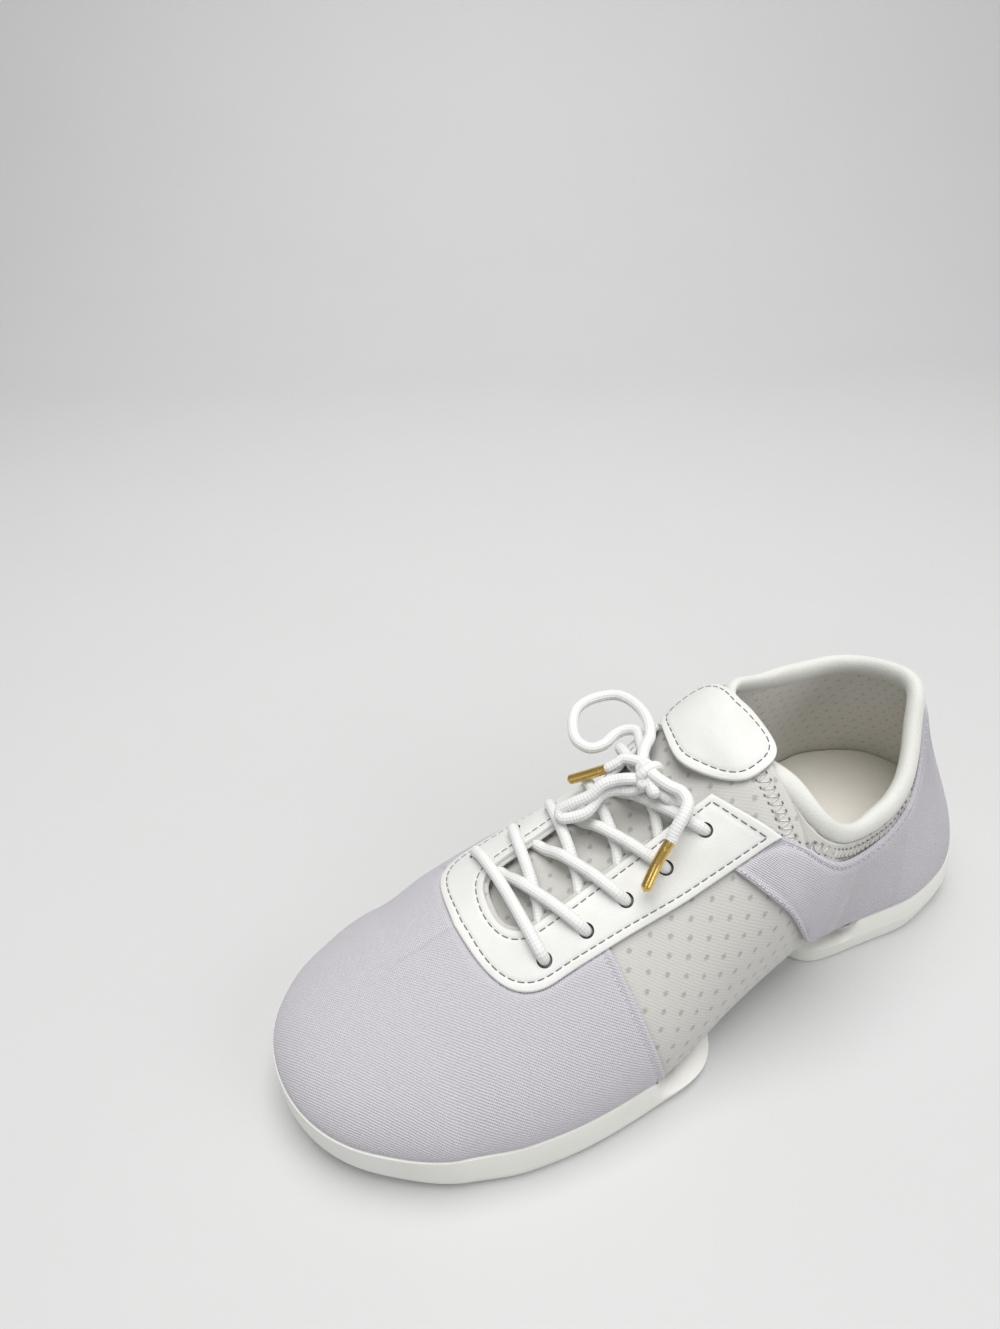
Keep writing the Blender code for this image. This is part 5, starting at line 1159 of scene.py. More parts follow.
def toe_canvas():
    """Canvas over the toe: sections from the rubber's rim up to under the eyestay, with a
    folded, stitched edge at the side seams; the cloth's own lengths fan out from the toe."""
    edge = np.array([0, 0.0012, 0.003, 0.006, 0.011, 0.018, 0.027, 0.036, 0.045, 0.055])
    share = np.concatenate([edge, np.linspace(0.07, 1, 70, endpoint=False)])[:, None]
    c = np.concatenate([np.linspace(0, 0.05, 5, endpoint=False), np.linspace(0.05, 1, 60)])
    seam = VAMP_SEAM_LOW + (VAMP_SEAM_TOP - VAMP_SEAM_LOW) * (0.66 * c) ** 0.65
    axis = seam + (TOE_AXIS - seam) * share
    fan = np.linspace(2, 4, 150)[:, None] + 0 * c
    way = np.concatenate([side_way(axis, 1), fan, side_way(axis, -1)[::-1]])
    along, turn = axis_of(way)
    front = stay_front(np.linspace(0, pi / 2, 300), -5 * MM)
    rear = stay_front(np.linspace(pi, pi / 2, 300), -5 * MM)
    under_stay = stay_girth(along) - 5 * MM
    left = np.where(along < STAY_BEND, under_stay, np.interp(along, front[0], front[1], right=0))
    right = np.where(along < STAY_BEND, under_stay, np.interp(along, rear[0], -rear[1], right=0))
    bound = np.where(np.abs(turn) < pi / 2 - 1e-9, 0, np.where(turn > 0, left, right))
    top = t_at_girth(way, bound)
    rim = bed(outer(way, 0 * way)[..., 0]) + FORE_RIM - FORE_BED - 1.6 * MM
    on_cup = t_at_height(way, rim)
    drop = 6 * MM * (1 - smooth_step((along - FORE_SOLE_SHOULDER - 0.02) / 0.10))
    low = t_at_height(way, rim - drop)
    t = between(way, low, top, c)
    girth = length_at(way, 1 + 0 * way) - length_at(way, t)
    flat_x = along * LENGTH + girth * np.cos(turn)
    flat_g = girth * np.sin(turn)
    gap = stay_gap(flat_x, flat_g)
    from_rim = length_at(way, t) - length_at(way, on_cup)
    from_seam = (along - seam) * LENGTH + np.where(np.abs(turn) < pi / 2 - 1e-9, 1, 0)
    lift = LIFT * smooth_step(from_rim / RIM_FADE) + 0.05 * MM
    tuck = smooth_step((gap + 0.6 * MM) / (2.2 * MM))
    lift = lift * tuck - 0.55 * MM * (1 - tuck)
    thick = CANVAS * (0.2 + 0.8 * smooth_step(from_rim / (2 * MM))) * rounded(from_seam + 0.02 * MM, 0.5 * MM)
    thick = folded(thick, from_seam)
    n = normal(way, t)
    base = outer(way, t)
    under = base + lift[..., None] * n
    middle = bound[:, -1] == 0
    for sheet in (under, n):
        sheet[middle, -1] = 0.5 * (sheet + sheet[::-1])[middle, -1]
    for sheet in (under, n):
        mirror = sheet[::-1][middle][:, -2:-19:-1]
        across = np.concatenate([sheet[middle][:, -18:], mirror], axis=1)
        for _ in range(30):
            across[:, 1:-1] = 0.25 * across[:, :-2] + 0.5 * across[:, 1:-1] + 0.25 * across[:, 2:]
        near_toe = smooth_step((TOE_AXIS - along[middle, -1]) / 0.035)[:, None, None]
        sheet[middle, -18:] = across[:, :18] * near_toe + sheet[middle, -18:] * (1 - near_toe)
    n = unit(n)
    thick[middle, -1] = 0.5 * (thick + thick[::-1])[middle, -1]
    uv = np.stack([flat_x, flat_g], -1)
    made = slab("toe_canvas", under + thick[..., None] * n, under, CLOTH, uv)
    finished(made, "lavender_canvas", "toe_vamp")
    for name, rows in (("lateral", 8), ("medial", len(way) - 9)):
        line = (under + thick[..., None] * n)[rows]
        keep = gap[rows] > 0.5 * MM
        keep[:6] = False
        canvas_seam("toe_seam_" + name, line[keep], n[rows][keep])


def heel_canvas():
    """Canvas round the heel between the rubber's rim and the collar band, up to a folded,
    stitched seam on either side and tucked under the eyestay's rear corners."""
    close = np.array([0.1, 0.085, 0.07, 0.055, 0.045, 0.036, 0.027, 0.018, 0.011, 0.006, 0.003, 0.0012, 0])
    c = np.concatenate([np.linspace(0, 0.9, 40, endpoint=False), 1 - close])
    seam = QUARTER_SEAM_LOW + (QUARTER_SEAM_TOP - QUARTER_SEAM_LOW) * c ** 0.85
    root = 0.300
    edge = 1 - np.array([0.10, 0.075, 0.055, 0.04, 0.027, 0.018, 0.011, 0.006, 0.003, 0.0])
    fan = np.concatenate([np.linspace(0, 0.9, 45, endpoint=False)[1:], edge])
    flank = side_way(np.linspace(HEEL_AXIS, root, 24), 1)
    heel = np.concatenate([np.linspace(0, 1, 60, endpoint=False), flank])
    front = side_way(root + (seam - root) * fan[:, None], 1)
    left = np.concatenate([heel[:, None] + 0 * c, front])
    way = np.concatenate([6 - left[:0:-1], left])
    along, turn = axis_of(way)
    ways = [row_way(row[0], row[1]) for row in CANVAS_ROWS]
    seam_up = around(ways, [row[2] * COLLAR_HEIGHT for row in CANVAS_ROWS], np.mod(way, 6))
    by_height = t_at_height(way, seam_up)
    by_stay = t_at_girth(way, stay_girth(along) - 4 * MM)
    share = smooth_step((along - 0.372) / 0.045)
    top = by_height * (1 - share) + by_stay * share
    rows = HEEL_RIM_ROWS
    rim_share = around([row_way(row[0], row[1]) for row in rows], [row[2] for row in rows], np.mod(way, 6))
    rim = HEEL_RIM + (HEEL_TAB - HEEL_RIM) * rim_share - 1.6 * MM
    fade = smooth_step((HEEL_SOLE_SHOULDER + 0.03 - along) / 0.04)
    on_cup = t_at_height(way, rim)
    reach = smooth_step((HEEL_SOLE_SHOULDER - 0.01 - along) / 0.06)
    low = on_cup * reach + 0.01 * (1 - reach)
    t = between(way, low, top, c)
    length = length_at(way, t)
    from_rim = length - length_at(way, on_cup * fade + 0.01 * (1 - fade))
    from_top = length_at(way, top) - length
    girth = length_at(way, 1 + 0 * way) - length
    gap = np.where(along >= NECK, stay_gap(along * LENGTH, np.where(turn > 0, girth, -girth)), NO_EDGE)
    gap = np.where(along >= STAY_REAR - 0.012, gap, NO_EDGE)
    tuck = smooth_step((gap + 0.6 * MM) / (2.2 * MM))
    from_seam = (seam - along) * LENGTH
    on_sole = smooth_step(from_rim / RIM_FADE)
    lift = (1.05 * MM * (on_sole * fade + 1 * (1 - fade)) * tuck - 0.55 * MM * (1 - tuck))
    lift = lift * smooth_step((from_seam + 3.0 * MM) / (3.5 * MM))
    lift = lift * (0.3 + 0.7 * smooth_step(from_top / (5 * MM)))
    thick = CANVAS * (0.2 + 0.8 * smooth_step(from_rim / (2 * MM)))
    nearest = np.minimum(from_seam, np.where(tuck > 0.5, from_top, NO_EDGE))
    thick = thick * rounded(nearest + 0.02 * MM, 0.5 * MM)
    thick = folded(thick, nearest)
    n = normal(way, t)
    under = outer(way, t) + lift[..., None] * n
    for _ in range(45):
        under[14:-14] = 0.25 * under[13:-15] + 0.5 * under[14:-14] + 0.25 * under[15:-13]
        n[14:-14] = unit(0.25 * n[13:-15] + 0.5 * n[14:-14] + 0.25 * n[15:-13])
    over = under + thick[..., None] * n
    foot = foot_out(way)
    u = along * LENGTH + np.where(along <= HEEL_AXIS, -1, 0) * foot * 0.8 * np.abs(np.abs(turn) - pi / 2)
    uv = np.stack([np.where(turn > 0, 1, -1) * (u + 60 * MM), length], -1)
    finished(slab("heel_canvas", over, under, CLOTH, uv), "lavender_canvas", "heel_quarter")
    row = len(way) - 6
    for name, k in (("lateral", row), ("medial", 5)):
        keep = gap[k] > 0.5 * MM
        canvas_seam("quarter_seam_" + name, over[k][keep], n[k][keep])
    column = int(np.argmin(np.abs(from_top[len(way) // 2] - 2.5 * MM)))
    keep = (gap[:, column] > 0.5 * MM) & (np.abs(from_seam[:, column]) > 2 * MM)
    canvas_seam("collar_seam", over[keep, column], n[keep, column])


def eyestay_edges():
    """Inner and outer edges of the U-shaped eyestay from its lateral to its medial end."""
    angle = np.linspace(0, pi, 111)
    ends = np.array([0, 0.0008, 0.002, 0.0045, 0.008, 0.013, 0.02, 0.03, 0.036, 0.042])
    straight = np.concatenate([ends, np.linspace(0.055, 1, 64, endpoint=False)])
    side = np.cos(angle)
    start = STAY_INNER_FRONT - 0.045
    arc_x = start + (STAY_INNER_FRONT - start) * np.abs(np.sin(angle)) ** 0.77
    arc_g = STAY_INNER * np.sign(side) * np.abs(side) ** 0.77
    rear = STAY_INNER_REAR + 0.018
    in_x = rear + (start - rear) * straight
    in_g = STAY_INNER + 0.35 * STAY_INNER_FLARE * (1 - straight) ** 3.5
    out_x = STAY_REAR + (STAY_BEND - STAY_REAR) * straight
    out_g = stay_girth(out_x)
    front = stay_front(angle, 0)
    inner = np.stack([np.concatenate([in_x, arc_x, in_x[::-1]]),
                      np.concatenate([in_g, arc_g, -in_g[::-1]])], -1)
    outer_edge = np.stack([np.concatenate([out_x, front[0], out_x[::-1]]),
                           np.concatenate([out_g, front[1], -out_g[::-1]])], -1)
    return inner * (LENGTH, 1), outer_edge * (LENGTH, 1)


def eyestay():
    """Leather eyestay: a U with rounded edges, a pressed stitch line along each, and holes."""
    inner, rim = eyestay_edges()
    width = np.linalg.norm(rim - inner, axis=1)[:, None]
    near = np.array([0, 0.06, 0.15, 0.3, 0.5, 0.8, 1.2, 1.7, 2.1, 2.35, 2.6, 2.85, 3.2, 3.8]) * MM
    mid = np.linspace(0, 1, 12)[1:-1]
    first, last = near[-1], width - near[-1]
    across = np.concatenate([near + 0 * width, first + (last - first) * mid, width - near[::-1]], axis=1)
    flat = inner[:, None] + (rim - inner)[:, None] * (across / width)[..., None]
    ends = np.cumsum(np.concatenate([[0], np.linalg.norm(np.diff(inner, axis=0), axis=1)]))
    end = np.minimum(ends, ends[-1] - ends)[:, None]
    edge = np.minimum(np.minimum(across, width - across), end)
    lateral, medial = eyelet_places()
    spots = np.array([(x * LENGTH, g) for x, g in lateral + medial])
    hole = np.sqrt(((flat[:, :, None] - spots) ** 2).sum(-1)).min(-1)
    thick = leather_thickness(edge)
    thick = thick - 0.25 * MM * np.exp(-(hole / (3.4 * MM)) ** 4)
    along, girth = flat[..., 0] / LENGTH, flat[..., 1]
    under = instep(along, girth, LIFT)
    n = unit(instep(along, girth, 1.0 * MM) - instep(along, girth, 0.0))
    over = under + thick[..., None] * n
    made = slab("eyestay_leather", over, under, HIDE, flat)
    throat_layer(inner, rim)
    centre = instep(spots[:, 0] / LENGTH, spots[:, 1], 0 * spots[:, 0])
    out = unit(instep(spots[:, 0] / LENGTH, spots[:, 1], 1 * MM + 0 * spots[:, 0]) - centre)
    punched(made, centre, out)
    # dark tubes of painted shade inside the eyelet holes
    shade_tubes(centre, out)
    for name, column in (("inner", 10), ("outer", over.shape[1] - 11)):
        leather_seam("stay_stitch_" + name, over[8:-8, column], n[8:-8, column])
    for name, row in (("lateral", 8), ("medial", len(over) - 9)):
        leather_seam("stay_end_" + name, over[row, 10:-10], n[row, 10:-10])


def throat_layer(inner, rim):
    """Cut edge of the knit that shows inside the eyestay's front, over the sunken throat."""
    line, inward = inner[30:-30, None], unit(inner - rim)[30:-30, None]
    flat = line + inward * np.array([-1.6, 0.2, 0.7, 1.1, 1.3])[:, None] * MM
    rim_drop = np.array([0, 0, 0.02, 0.12, 0.35]) * MM
    top = instep(flat[..., 0] / LENGTH, flat[..., 1], LIFT - 0.05 * MM - rim_drop)
    under = instep(flat[..., 0] / LENGTH, flat[..., 1], LIFT - 1.0 * MM + rim_drop)
    finished(slab("throat_edge", top, under, KNIT, flat), "dimpled_knit")


def pin(centre, out, radius, low, high, sides):
    """Rings of points round pins along their own directions, and the sides' faces."""
    u = unit(np.cross(out, (0, 1.0, 0.1)))
    v = np.cross(out, u)
    angle = 2 * pi * np.arange(sides) / sides
    ring = u[:, None] * np.cos(angle)[:, None] + v[:, None] * np.sin(angle)[:, None]
    both = [centre[:, None] + out[:, None] * h + radius * ring for h in (low, high)]
    return np.stack(both, axis=1)


def punched(made, centre, out):
    """Cut a round hole through the leather at each eyelet."""
    sides = 32
    rings = pin(centre, out, EYELET_RADIUS, -2 * MM, 4 * MM, sides)
    points = rings.reshape(-1, 3) - ORIGIN
    faces = []
    for k in range(len(centre)):
        base = 2 * sides * k
        ring = np.arange(sides)
        wall = np.stack([ring, np.roll(ring, -1), np.roll(ring, -1) + sides, ring + sides], -1)
        faces += (wall + base).tolist()
        faces += [(ring[::-1] + base).tolist(), (ring + sides + base).tolist()]
    mesh = bpy.data.meshes.new("punch")
    mesh.from_pydata(points.tolist(), [], faces)
    work = bmesh.new()
    work.from_mesh(mesh)
    bmesh.ops.recalc_face_normals(work, faces=work.faces)
    work.to_mesh(mesh)
    work.free()
    tool = bpy.data.objects.new("punch", mesh)
    bpy.context.scene.collection.objects.link(tool)
    hole = made.modifiers.new("holes", "BOOLEAN")
    hole.operation, hole.object, hole.solver = "DIFFERENCE", tool, "EXACT"
    result = bpy.data.meshes.new_from_object(made.evaluated_get(bpy.context.evaluated_depsgraph_get()))
    made.modifiers.clear()
    made.data = result
    result.set_sharp_from_angle(angle=radians(45))
    bpy.data.objects.remove(tool)
    finished(made, "white_leather", "eyestay")


def shade_tubes(centre, out):
    """Painted shade in the eyelets: short dark open tubes with a wall, just under the leather, standing for
    the shade in the holes.
    """
    sides = 24
    outside = pin(centre, out, EYELET_RADIUS - 0.02 * MM, -1.6 * MM, LIFT + 0.55 * LEATHER, sides)
    inside = pin(centre, out, EYELET_RADIUS - 0.25 * MM, -1.6 * MM, LIFT + 0.55 * LEATHER, sides)
    count = len(centre)
    loops = np.stack([outside[:, 0], outside[:, 1], inside[:, 1], inside[:, 0]], axis=1)
    points = loops.reshape(-1, 3)
    ring = np.arange(sides)
    faces = np.concatenate([np.stack([ring + sides * a, np.roll(ring, -1) + sides * a,
                                      np.roll(ring, -1) + sides * b, ring + sides * b], -1)
                            for a, b in ((0, 1), (1, 2), (2, 3), (3, 0))])
    faces = (faces[None] + 4 * sides * np.arange(count)[:, None, None]).reshape(-1, 4)
    if volume(points, faces) < 0:
        faces = faces[:, ::-1]
    finished(piece("eyelet_hole_shade", points, faces, SHADE_IN_EYELETS, sharp=40), "white_leather")


def patch():
    """Leather patch at the collar's front: a six-sided shape with soft corners, as rings that
    shrink to its middle, curled over the collar's edge at the rear; a stitch line round it."""
    corners = np.array([(96.5, 12), (97.6, 18.5), (101, 21.2), (105.5, 21.6), (110, 19.8),
                        (116.5, 10.8), (121, 2), (121.4, -4), (117.5, -14.5), (114.5, -19.8),
                        (110.5, -21.4), (104, -21), (99.2, -18.8), (97, -12), (96.2, 0)]) * MM
    for _ in range(2):
        after = np.roll(corners, -1, axis=0)
        cut = np.stack([0.75 * corners + 0.25 * after, 0.25 * corners + 0.75 * after], axis=1)
        corners = cut.reshape(-1, 2)
    level = np.pad(np.concatenate([corners, corners[:1]]), ((0, 0), (0, 1)))
    outline = evenly(level, 0.7 * MM)[:-1, :2]
    middle = np.array([108.5, 0.5]) * MM
    size = np.linalg.norm(outline - middle, axis=1)[:, None]
    near = np.array([0, 0.06, 0.15, 0.3, 0.5, 0.8, 1.2, 1.7, 2.1, 2.35, 2.6, 2.85, 3.2, 3.8]) * MM
    inner = (size - near[-1]) * np.linspace(1, 0, 16)[1:]
    radial = np.concatenate([size - near, inner], axis=1)
    flat = middle + (outline - middle)[:, None] * (radial / size)[..., None]
    edge = size - radial
    thick = leather_thickness(edge)
    ahead = flat[..., 0] - NECK * LENGTH - 0.4 * MM
    x = NECK * LENGTH + 0.4 * MM + 0.5 * (ahead + np.sqrt(ahead ** 2 + (1.6 * MM) ** 2))
    back = x - flat[..., 0]
    crown = 0.5 * MM * smooth_step(edge / (9 * MM))
    n = unit(instep(x / LENGTH, flat[..., 1], 1 * MM) - instep(x / LENGTH, flat[..., 1], 0.0))
    curl = np.stack([-back, 0 * back, 0.30 * back - back ** 2 / (10 * MM)], -1)
    near_rear = smooth_step((104 * MM - flat[..., 0]) / (6 * MM))
    under = instep(x / LENGTH, flat[..., 1], LIFT + crown + 0.5 * MM * near_rear) + curl
    for _ in range(14):
        under, n = (0.25 * np.roll(sheet, 1, axis=0) + 0.5 * sheet + 0.25 * np.roll(sheet, -1, axis=0)
                    for sheet in (under, n))
        for sheet in (under, n):
            sheet[:, 10:-1] = 0.25 * sheet[:, 9:-2] + 0.5 * sheet[:, 10:-1] + 0.25 * sheet[:, 11:]
    n = unit(n)
    over = under + thick[..., None] * n
    made = slab("instep_patch", over, under, HIDE, flat, wrap=True, close=0.01 * MM)
    finished(made, "white_leather", "tongue_patch")
    line = np.concatenate([over[:, 10], over[:1, 10]])
    out = np.concatenate([n[:, 10], n[:1, 10]])
    leather_seam("patch_stitch", line, out)


def collar():
    """Rolled binding: a tube along the collar's edge all round, flattened across the wall and
    thinner at the front where the patch covers it, and the zigzag seam below it."""
    right, left = NECKS[1], NECKS[0]
    ways = np.concatenate([left - np.linspace(0, 0.0025, 30), np.linspace(left - 0.0025, 1, 90)[1:],
                           np.linspace(1, 0, 60)[1:], np.linspace(6, right + 0.0025, 150),
                           right + np.linspace(0.0025, 0, 30)[1:]])
    edge = outer(ways, 1 + 0 * ways)
    n = normal(ways, 1 + 0 * ways)
    both = evenly_with(edge, n, 0.8 * MM)
    edge, n = both[:, :3], unit(both[:, 3:])
    edge, n = blurred(edge[:-1], 6), unit(blurred(n[:-1], 9))
    tangent = unit(np.roll(edge, -1, axis=0) - np.roll(edge, 1, axis=0))
    up = unit(np.cross(n, tangent))
    up = up if up[len(up) // 2, 2] > 0 else -up
    ahead = smooth_step((edge[:, 0] - 90 * MM) / (9 * MM)) * smooth_step((18 * MM - edge[:, 1]) / (16 * MM))
    slimmer = 1 - 0.22 * smooth_step((edge[:, 0] - 66 * MM) / (16 * MM)) * (1 - ahead)
    radius = ROLL_RADIUS * (1 - 0.5 * ahead) * slimmer
    centre = edge + up * (radius + GAP)[:, None] - n * (0.9 * WALL + 0.9 * MM * ahead)[:, None]
    centre = centre - up * (1.3 * MM * (1 - ahead))[:, None]
    side = unit(np.cross(tangent, up))
    rise = np.cross(side, tangent)
    angle = 2 * pi * np.arange(29) / 28
    oval = 1 + 0.06 * np.cos(2 * angle)
    ring = (side[:, None] * (0.60 * oval * np.cos(angle))[:, None]
            + rise[:, None] * (oval * np.sin(angle))[:, None])
    grid = centre[:, None] + radius[:, None, None] * ring
    points = grid[:, :-1].reshape(-1, 3)
    cells = quads(len(grid), 29, True)
    row, column = cells // 29, cells % 29 % 28
    faces = row * 28 + column
    if volume(points, faces) < 0:
        faces = faces[:, ::-1]
    finished(piece("collar_roll", points, faces, NAP), "dimpled_knit", "collar_binding")
    zigzag()


def evenly_with(line, extra, spacing):
    """Line and a second value along it, both at an even spacing of the line."""
    run = np.concatenate([[0], np.cumsum(np.linalg.norm(np.diff(line, axis=0), axis=1))])
    stops = np.linspace(0, run[-1], int(run[-1] / spacing))
    both = np.concatenate([line, extra], axis=1)
    return np.stack([np.interp(stops, run, both[:, k]) for k in range(both.shape[1])], -1)


def blurred(values, reach):
    """Values round a closed line, each the bell-weighted mean of its neighbours."""
    shift = np.arange(-3 * reach, 3 * reach + 1)
    weight = np.exp(-0.5 * (shift / reach) ** 2)
    return sum(w * np.roll(values, int(s), axis=0) for s, w in zip(shift, weight / weight.sum()))


def zigzag():
    """Seam under the collar's roll: slanting threads between two rows of needle holes, drawn as dark dots of
    painted shade.
    """
    ways = np.concatenate([np.linspace(NECKS[0] - 0.02, 1, 160), np.linspace(1, 0, 60)[1:],
                           np.linspace(6, NECKS[1] + 0.02, 200)[1:]])
    top = length_at(ways, 1 + 0 * ways)
    crest = [float(length_at(np.array([w]), np.array([1.0]))[0]) for w in NECKS]
    weight = np.hanning(33) / np.hanning(33).sum()
    for name, girth in (("upper", 1.9), ("middle", 3.7), ("lower", 5.5)):
        t = t_from_foot(ways, top - girth * MM)
        line, n = skin(ways, t, 0.12 * MM), normal(ways, t)
        for hand, k, place in ((1, 0, 0), (-1, -1, 1)):
            g = np.linspace(crest[place] - top[k] + girth * MM, 20 * MM, 40)[:: -hand]
            along = NECK + (girth + 0.8) * MM / LENGTH + 0 * g
            rise = instep(along, hand * g, 0.12 * MM)
            lean = unit(instep(along, hand * g, 1 * MM) - rise)
            line = np.concatenate([rise, line] if hand > 0 else [line, rise])
            n = np.concatenate([lean, n] if hand > 0 else [n, lean])
        both = evenly_with(line, n, 0.4 * MM)
        even = np.stack([np.convolve(np.pad(both[:, k], 16, "edge"), weight, "valid") for k in range(6)], -1)
        line, n = even[:, :3], unit(even[:, 3:])
        if name == "middle":
            made = stitches("collar_zigzag", line, n, 1.25 * MM, 3.9 * MM, 0.24 * MM, KNIT_THREAD,
                            zigzag=3.4 * MM)
        else:
            # painted shade: rows of dark dots stand for the shade in the needle holes
            made = stitches("collar_row_" + name, line, n, 2.5 * MM, 1.0 * MM, 0.3 * MM, NEEDLE, 0.05 * MM)
        finished(made, "dimpled_knit")


# Insole, soles and stud
def plan_of(ways):
    """Plan outline of the wall's foot at the ways given."""
    along, turn = axis_of(ways)
    out = foot_out(ways)
    return np.stack([along * LENGTH + out * np.cos(turn), out * np.sin(turn)], -1)


def insole():
    """Footbed: rings from its edge in to the middle line, raised towards the heel, dished and
    turned up at the edge."""
    ways = both_sides(np.linspace(0.0, 3, 160))
    along, _ = axis_of(ways)
    low = bed(along * LENGTH) + WALL + 0.5 * MM
    high = low + INSOLE_THICK + HEEL_LIFT * (1 - smooth_step((along - 0.30) / 0.38))
    loop, base = (skin(ways, t_at_height(ways, z + 0 * ways), -(WALL + 0.05 * MM))[:, :2]
                  for z in (high, low + 1.2 * MM))
    share = np.concatenate([[0, 0.006, 0.015, 0.03, 0.05], np.linspace(0.08, 1, 22)])[:, None]
    sheets = []
    for edge_line, up in ((loop, high), (base, low)):
        middle = 0.5 * (edge_line + edge_line[(-np.arange(len(ways))) % len(ways)])
        flat = edge_line[:, None] * (1 - share) + middle[:, None] * share
        inward = np.linalg.norm(flat - edge_line[:, None], axis=-1)
        sheets.append((flat, inward, up[:, None] + 0 * flat[..., 0]))
    (flat, edge, up), (flat_low, _, up_low) = sheets
    up = up - 1.2 * MM * (1 - rounded(edge, 1.6 * MM)) + 0.8 * MM * np.exp(-edge / (7 * MM))
    top = np.concatenate([flat, up[..., None]], -1)
    under = np.concatenate([flat_low, up_low[..., None]], -1)
    rows, columns = top.shape[:2]
    count = rows * columns
    number = np.arange(count).reshape(rows, columns)
    faces = quads(rows, columns, True)
    rim = strip(number[:, 0][::-1], number[:, 0][::-1] + count)
    faces = np.concatenate([faces, faces[:, ::-1] + count, rim])
    points = np.concatenate([top.reshape(-1, 3), under.reshape(-1, 3)])
    if volume(points, faces) < 0:
        faces = faces[:, ::-1]
    finished(piece("insole_cloth", points, faces, FOAM, close=MERGE), "cream_insole", "insole")


def end_arc(shoulder, end, half, count):
    """Rounded end of a sole on one side, a superellipse from the centre line to the shoulder."""
    power = 2 / 3.0
    angle = np.linspace(0.02, 1, count, endpoint=False) * pi / 2
    return np.stack([shoulder + (end - shoulder) * np.cos(angle) ** power, half * np.sin(angle) ** power], -1)


def plan_normals(loop):
    """Unit vectors out of a closed plan outline."""
    tangent = np.roll(loop, -1, axis=0) - np.roll(loop, 1, axis=0)
    return unit(np.stack([-tangent[:, 1], tangent[:, 0]], -1))


def rubber(name, ways, ends, rise, full, z_low, z_high, step, node):
    """Cup sole: rings from the tread round its wall and lip down the inside to the bed, a
    smooth curve through eleven levels, closed across under the foot and at the tread."""
    lateral, medial = plan_of(ways), plan_of(6 - ways)
    _, turn = axis_of(ways)
    out = np.stack([np.cos(turn), np.sin(turn)], -1)
    straight = np.array([0, 1.0]) + 0 * ends[0]
    rear = ends[0][0, 0] < lateral[0, 0]
    parts = [(ends[0], lateral), (ends[1], medial), (straight, out)]
    left, right, dirs = (np.concatenate(p if rear else p[::-1]) for p in parts)
    loop = np.concatenate([left, right[::-1]])
    dirs = np.concatenate([dirs, (dirs * (1, -1))[::-1]])
    n = plan_normals(loop)
    is_end = np.zeros(len(left), bool)
    is_end[:len(ends[0])] = rear
    is_end[len(left) - len(ends[0]):] |= not rear
    is_end = np.concatenate([is_end, is_end[::-1]])
    inward = np.where(is_end[:, None], n, dirs)
    all_ways = np.concatenate([full, 6 - full[::-1]])
    rise = np.concatenate([rise, rise[::-1]])
    z_bed = bed(loop[:, 0])
    z_rim = z_bed - BED_CLEAR + rise * (z_high(all_ways, loop) - z_bed + BED_CLEAR)
    z_tread = z_low(loop[:, 0])
    t = t_at_height(all_ways, z_rim)
    top, foot = outer(all_ways, t), outer(all_ways, 0 * t)
    _, turn = axis_of(all_ways)
    out_rim = (top[:, 0] - foot[:, 0]) * np.cos(turn) + (top[:, 1] - foot[:, 1]) * np.sin(turn)
    reach = z_rim - z_bed
    ledge = np.arccos(1 - np.clip(reach / CORNER, 0, 1))
    inside = [(-CORNER * (1 - np.sin(ledge * s)) + CUP_CLEAR * np.sin(ledge * s),
               CORNER * (1 - np.cos(ledge * s)) - BED_CLEAR * np.cos(ledge * s), True)
              for s in (1, 0.75, 0.5, 0.25, 0)]
    low_end = reach < CORNER
    lip_in = np.where(low_end, inside[0][0] + 0.3 * MM, out_rim + CUP_CLEAR)
    dip = np.where(low_end, 0.7 * MM, 0)
    waist = z_tread + step + 0.6 * (z_rim - z_tread - step)
    flare = SOLE_FLARE - 1.3 * MM * smooth_step((loop[:, 0] - 205 * MM) / (35 * MM))
    levels = [
        (flare - EDGE_ROUND, z_tread, False), (flare - 0.8 * MM, z_tread + 0.35 * MM, False),
        (flare - 0.3 * MM, z_tread + 1.5 * MM, False), (flare, z_tread + step - 0.5 * MM, False),
        (flare - 0.05 * MM, z_tread + step + 0.6 * MM, False),
        (0.5 * (flare + lip_in + LIP), waist, False),
        (lip_in + LIP, z_rim - 0.5 * MM - dip, False), (lip_in + 0.75 * LIP, z_rim - 0.05 * MM - dip, False),
        (lip_in, reach - dip - 0.15 * MM, True)] + inside
    rings = []
    for out, up, on_bed in levels:
        flat = loop + (inward if on_bed else n) * np.broadcast_to(out, len(loop))[:, None]
        flat = flat if on_bed else blurred(flat, 3)
        up = np.broadcast_to(up, len(loop)) + (bed(flat[:, 0]) if on_bed else 0)
        rings.append(np.concatenate([flat, up[:, None]], axis=1))
    rings = through_levels(np.array(rings), 4)
    count, per = len(rings), len(loop)
    grid = quads(count, per + 1)
    faces = (grid // (per + 1)) * per + grid % (per + 1) % per
    k = np.arange(per // 2 - 1)
    low = np.stack([k, k + 1, per - 2 - k, per - 1 - k], -1)
    points = rings.reshape(-1, 3)
    faces = np.concatenate([faces, low, low[:, ::-1] + (count - 1) * per])
    if volume(points, faces) < 0:
        faces = faces[:, ::-1]
    finished(piece(name, points, faces, RUBBER, close=MERGE, sharp=38), "white_rubber", node)


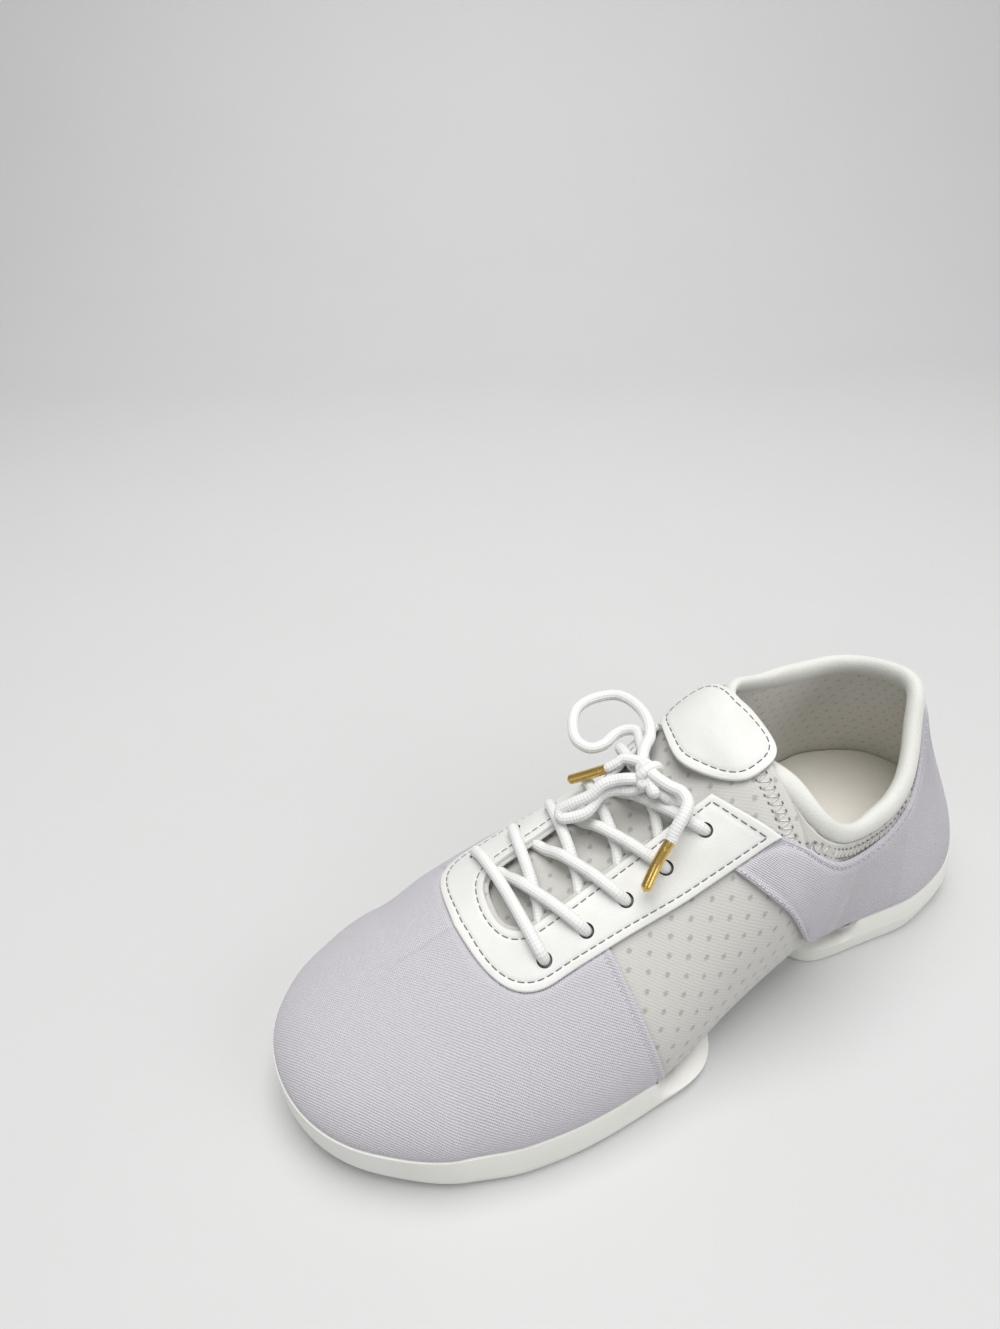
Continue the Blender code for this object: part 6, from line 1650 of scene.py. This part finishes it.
def through_levels(keys, steps):
    """More levels on Catmull-Rom curves through the key levels."""
    ends = np.concatenate([[2 * keys[0] - keys[1]], keys, [2 * keys[-1] - keys[-2]]])
    a, b, c, d = ends[:-3, None], ends[1:-2, None], ends[2:-1, None], ends[3:, None]
    t = np.linspace(0, 1, steps, endpoint=False)[None, :, None, None]
    fine = 0.5 * (2 * b + (c - a) * t + (2 * a - 5 * b + 4 * c - d) * t ** 2
                  + (3 * b - a - 3 * c + d) * t ** 3)
    return np.concatenate([fine.reshape((-1,) + keys.shape[1:]), keys[-1:]])


def forefoot_rubber():
    """Forefoot sole with a rounded rear end under the arch."""
    corner = float(side_way(FORE_SOLE_SHOULDER, 1))
    ways = np.concatenate([np.linspace(corner, 2, 90, endpoint=False), np.linspace(2, 2.985, 70)])
    count = 26
    shoulder, end = (FORE_SOLE_SHOULDER - 0.012) * LENGTH, FORE_SOLE_REAR * LENGTH
    ends = (end_arc(shoulder, end, plan_of(ways)[0, 1], count),
            end_arc(shoulder, end, -plan_of(6 - ways)[0, 1], count) * (1, -1))
    rise = np.concatenate([np.zeros(count), smooth_step((ways - corner) / 0.045)])
    full = np.concatenate([np.full(count, corner), ways])
    rubber("sole_forefoot", ways, ends, rise, full, spring,
           lambda w, loop: bed(loop[:, 0]) + FORE_RIM - FORE_BED, 0.3 * FORE_RIM, "outsole_forefoot")


def heel_rubber():
    """Heel sole with a tab up the back and a rounded front end."""
    corner = float(side_way(HEEL_SOLE_SHOULDER, 1))
    ways = np.concatenate([np.linspace(0.012, 1, 90, endpoint=False), np.linspace(1, corner, 40)])
    count = 26
    shoulder, end = (HEEL_SOLE_SHOULDER + 0.012) * LENGTH, HEEL_SOLE_FRONT * LENGTH
    ends = (end_arc(shoulder, end, plan_of(ways)[-1, 1], count)[::-1],
            end_arc(shoulder, end, -plan_of(6 - ways)[-1, 1], count)[::-1] * (1, -1))
    rise = np.concatenate([smooth_step((corner - ways) / 0.045), np.zeros(count)])
    full = np.concatenate([ways, np.full(count, corner)])
    rows = HEEL_RIM_ROWS
    tab = [row_way(row[0], row[1]) for row in rows], [row[2] for row in rows]
    rubber("sole_heel", ways, ends, rise, full, lambda x: 0 * x,
           lambda w, loop: HEEL_RIM + (HEEL_TAB - HEEL_RIM) * around(*tab, w), HEEL_STEP, "outsole_heel")


def stud():
    """Plain domed stud on the heel: a half ellipsoid on a thin rim."""
    width, tall, deep, height_on_heel = 5.5 * MM, 15 * MM, 3.2 * MM, 34 * MM
    t = t_at_height(np.array([0.0]), np.array([height_on_heel]))
    centre = skin(np.array([0.0]), t, LIFT + CANVAS + 0.4 * MM)[0]
    out = normal(np.array([0.0]), t)[0]
    up = unit(np.array([0, 0, 1]) - out * out[2])
    side = np.cross(up, out)
    angle = 2 * pi * np.arange(41) / 40
    rise = np.linspace(0, pi / 2, 12)
    dome = np.concatenate([[[1, 0], [1.02, 0.12], [1, 0.25], [0.93, 0.30]],
                           np.stack([0.9 * np.cos(rise), 0.3 + 0.7 * np.sin(rise)], -1)])
    size, height = dome[:, :1], dome[:, 1:]
    grid = (centre + side * (0.5 * width * size * np.cos(angle))[..., None]
            + up * (0.5 * tall * size * np.sin(angle))[..., None]
            + out * (deep * height + 0 * angle)[..., None])
    points = np.concatenate([grid.reshape(-1, 3), [centre]])
    faces = quads(len(dome), 41)
    k = np.arange(0, 40, 2)
    faces = np.concatenate([faces, np.stack([k, k + 1, k + 2, 0 * k + len(points) - 1], -1)])
    if volume(points, faces) < 0:
        faces = faces[:, ::-1]
    finished(piece("heel_stud_dome", points, faces, GOLD, close=MERGE), "gold_metal", "heel_stud")


bow()
lacing()
finished(shell("upper_knit", 0.0, CLOTH_THICK, KNIT, 230, 64), "dimpled_knit", "upper", "tongue")
finished(shell("upper_lining", LINING_DEPTH, CLOTH_THICK, LINING, 130, 36), "dimpled_knit")
toe_canvas()
heel_canvas()
eyestay()
patch()
collar()
insole()
forefoot_rubber()
heel_rubber()
stud()
studio()
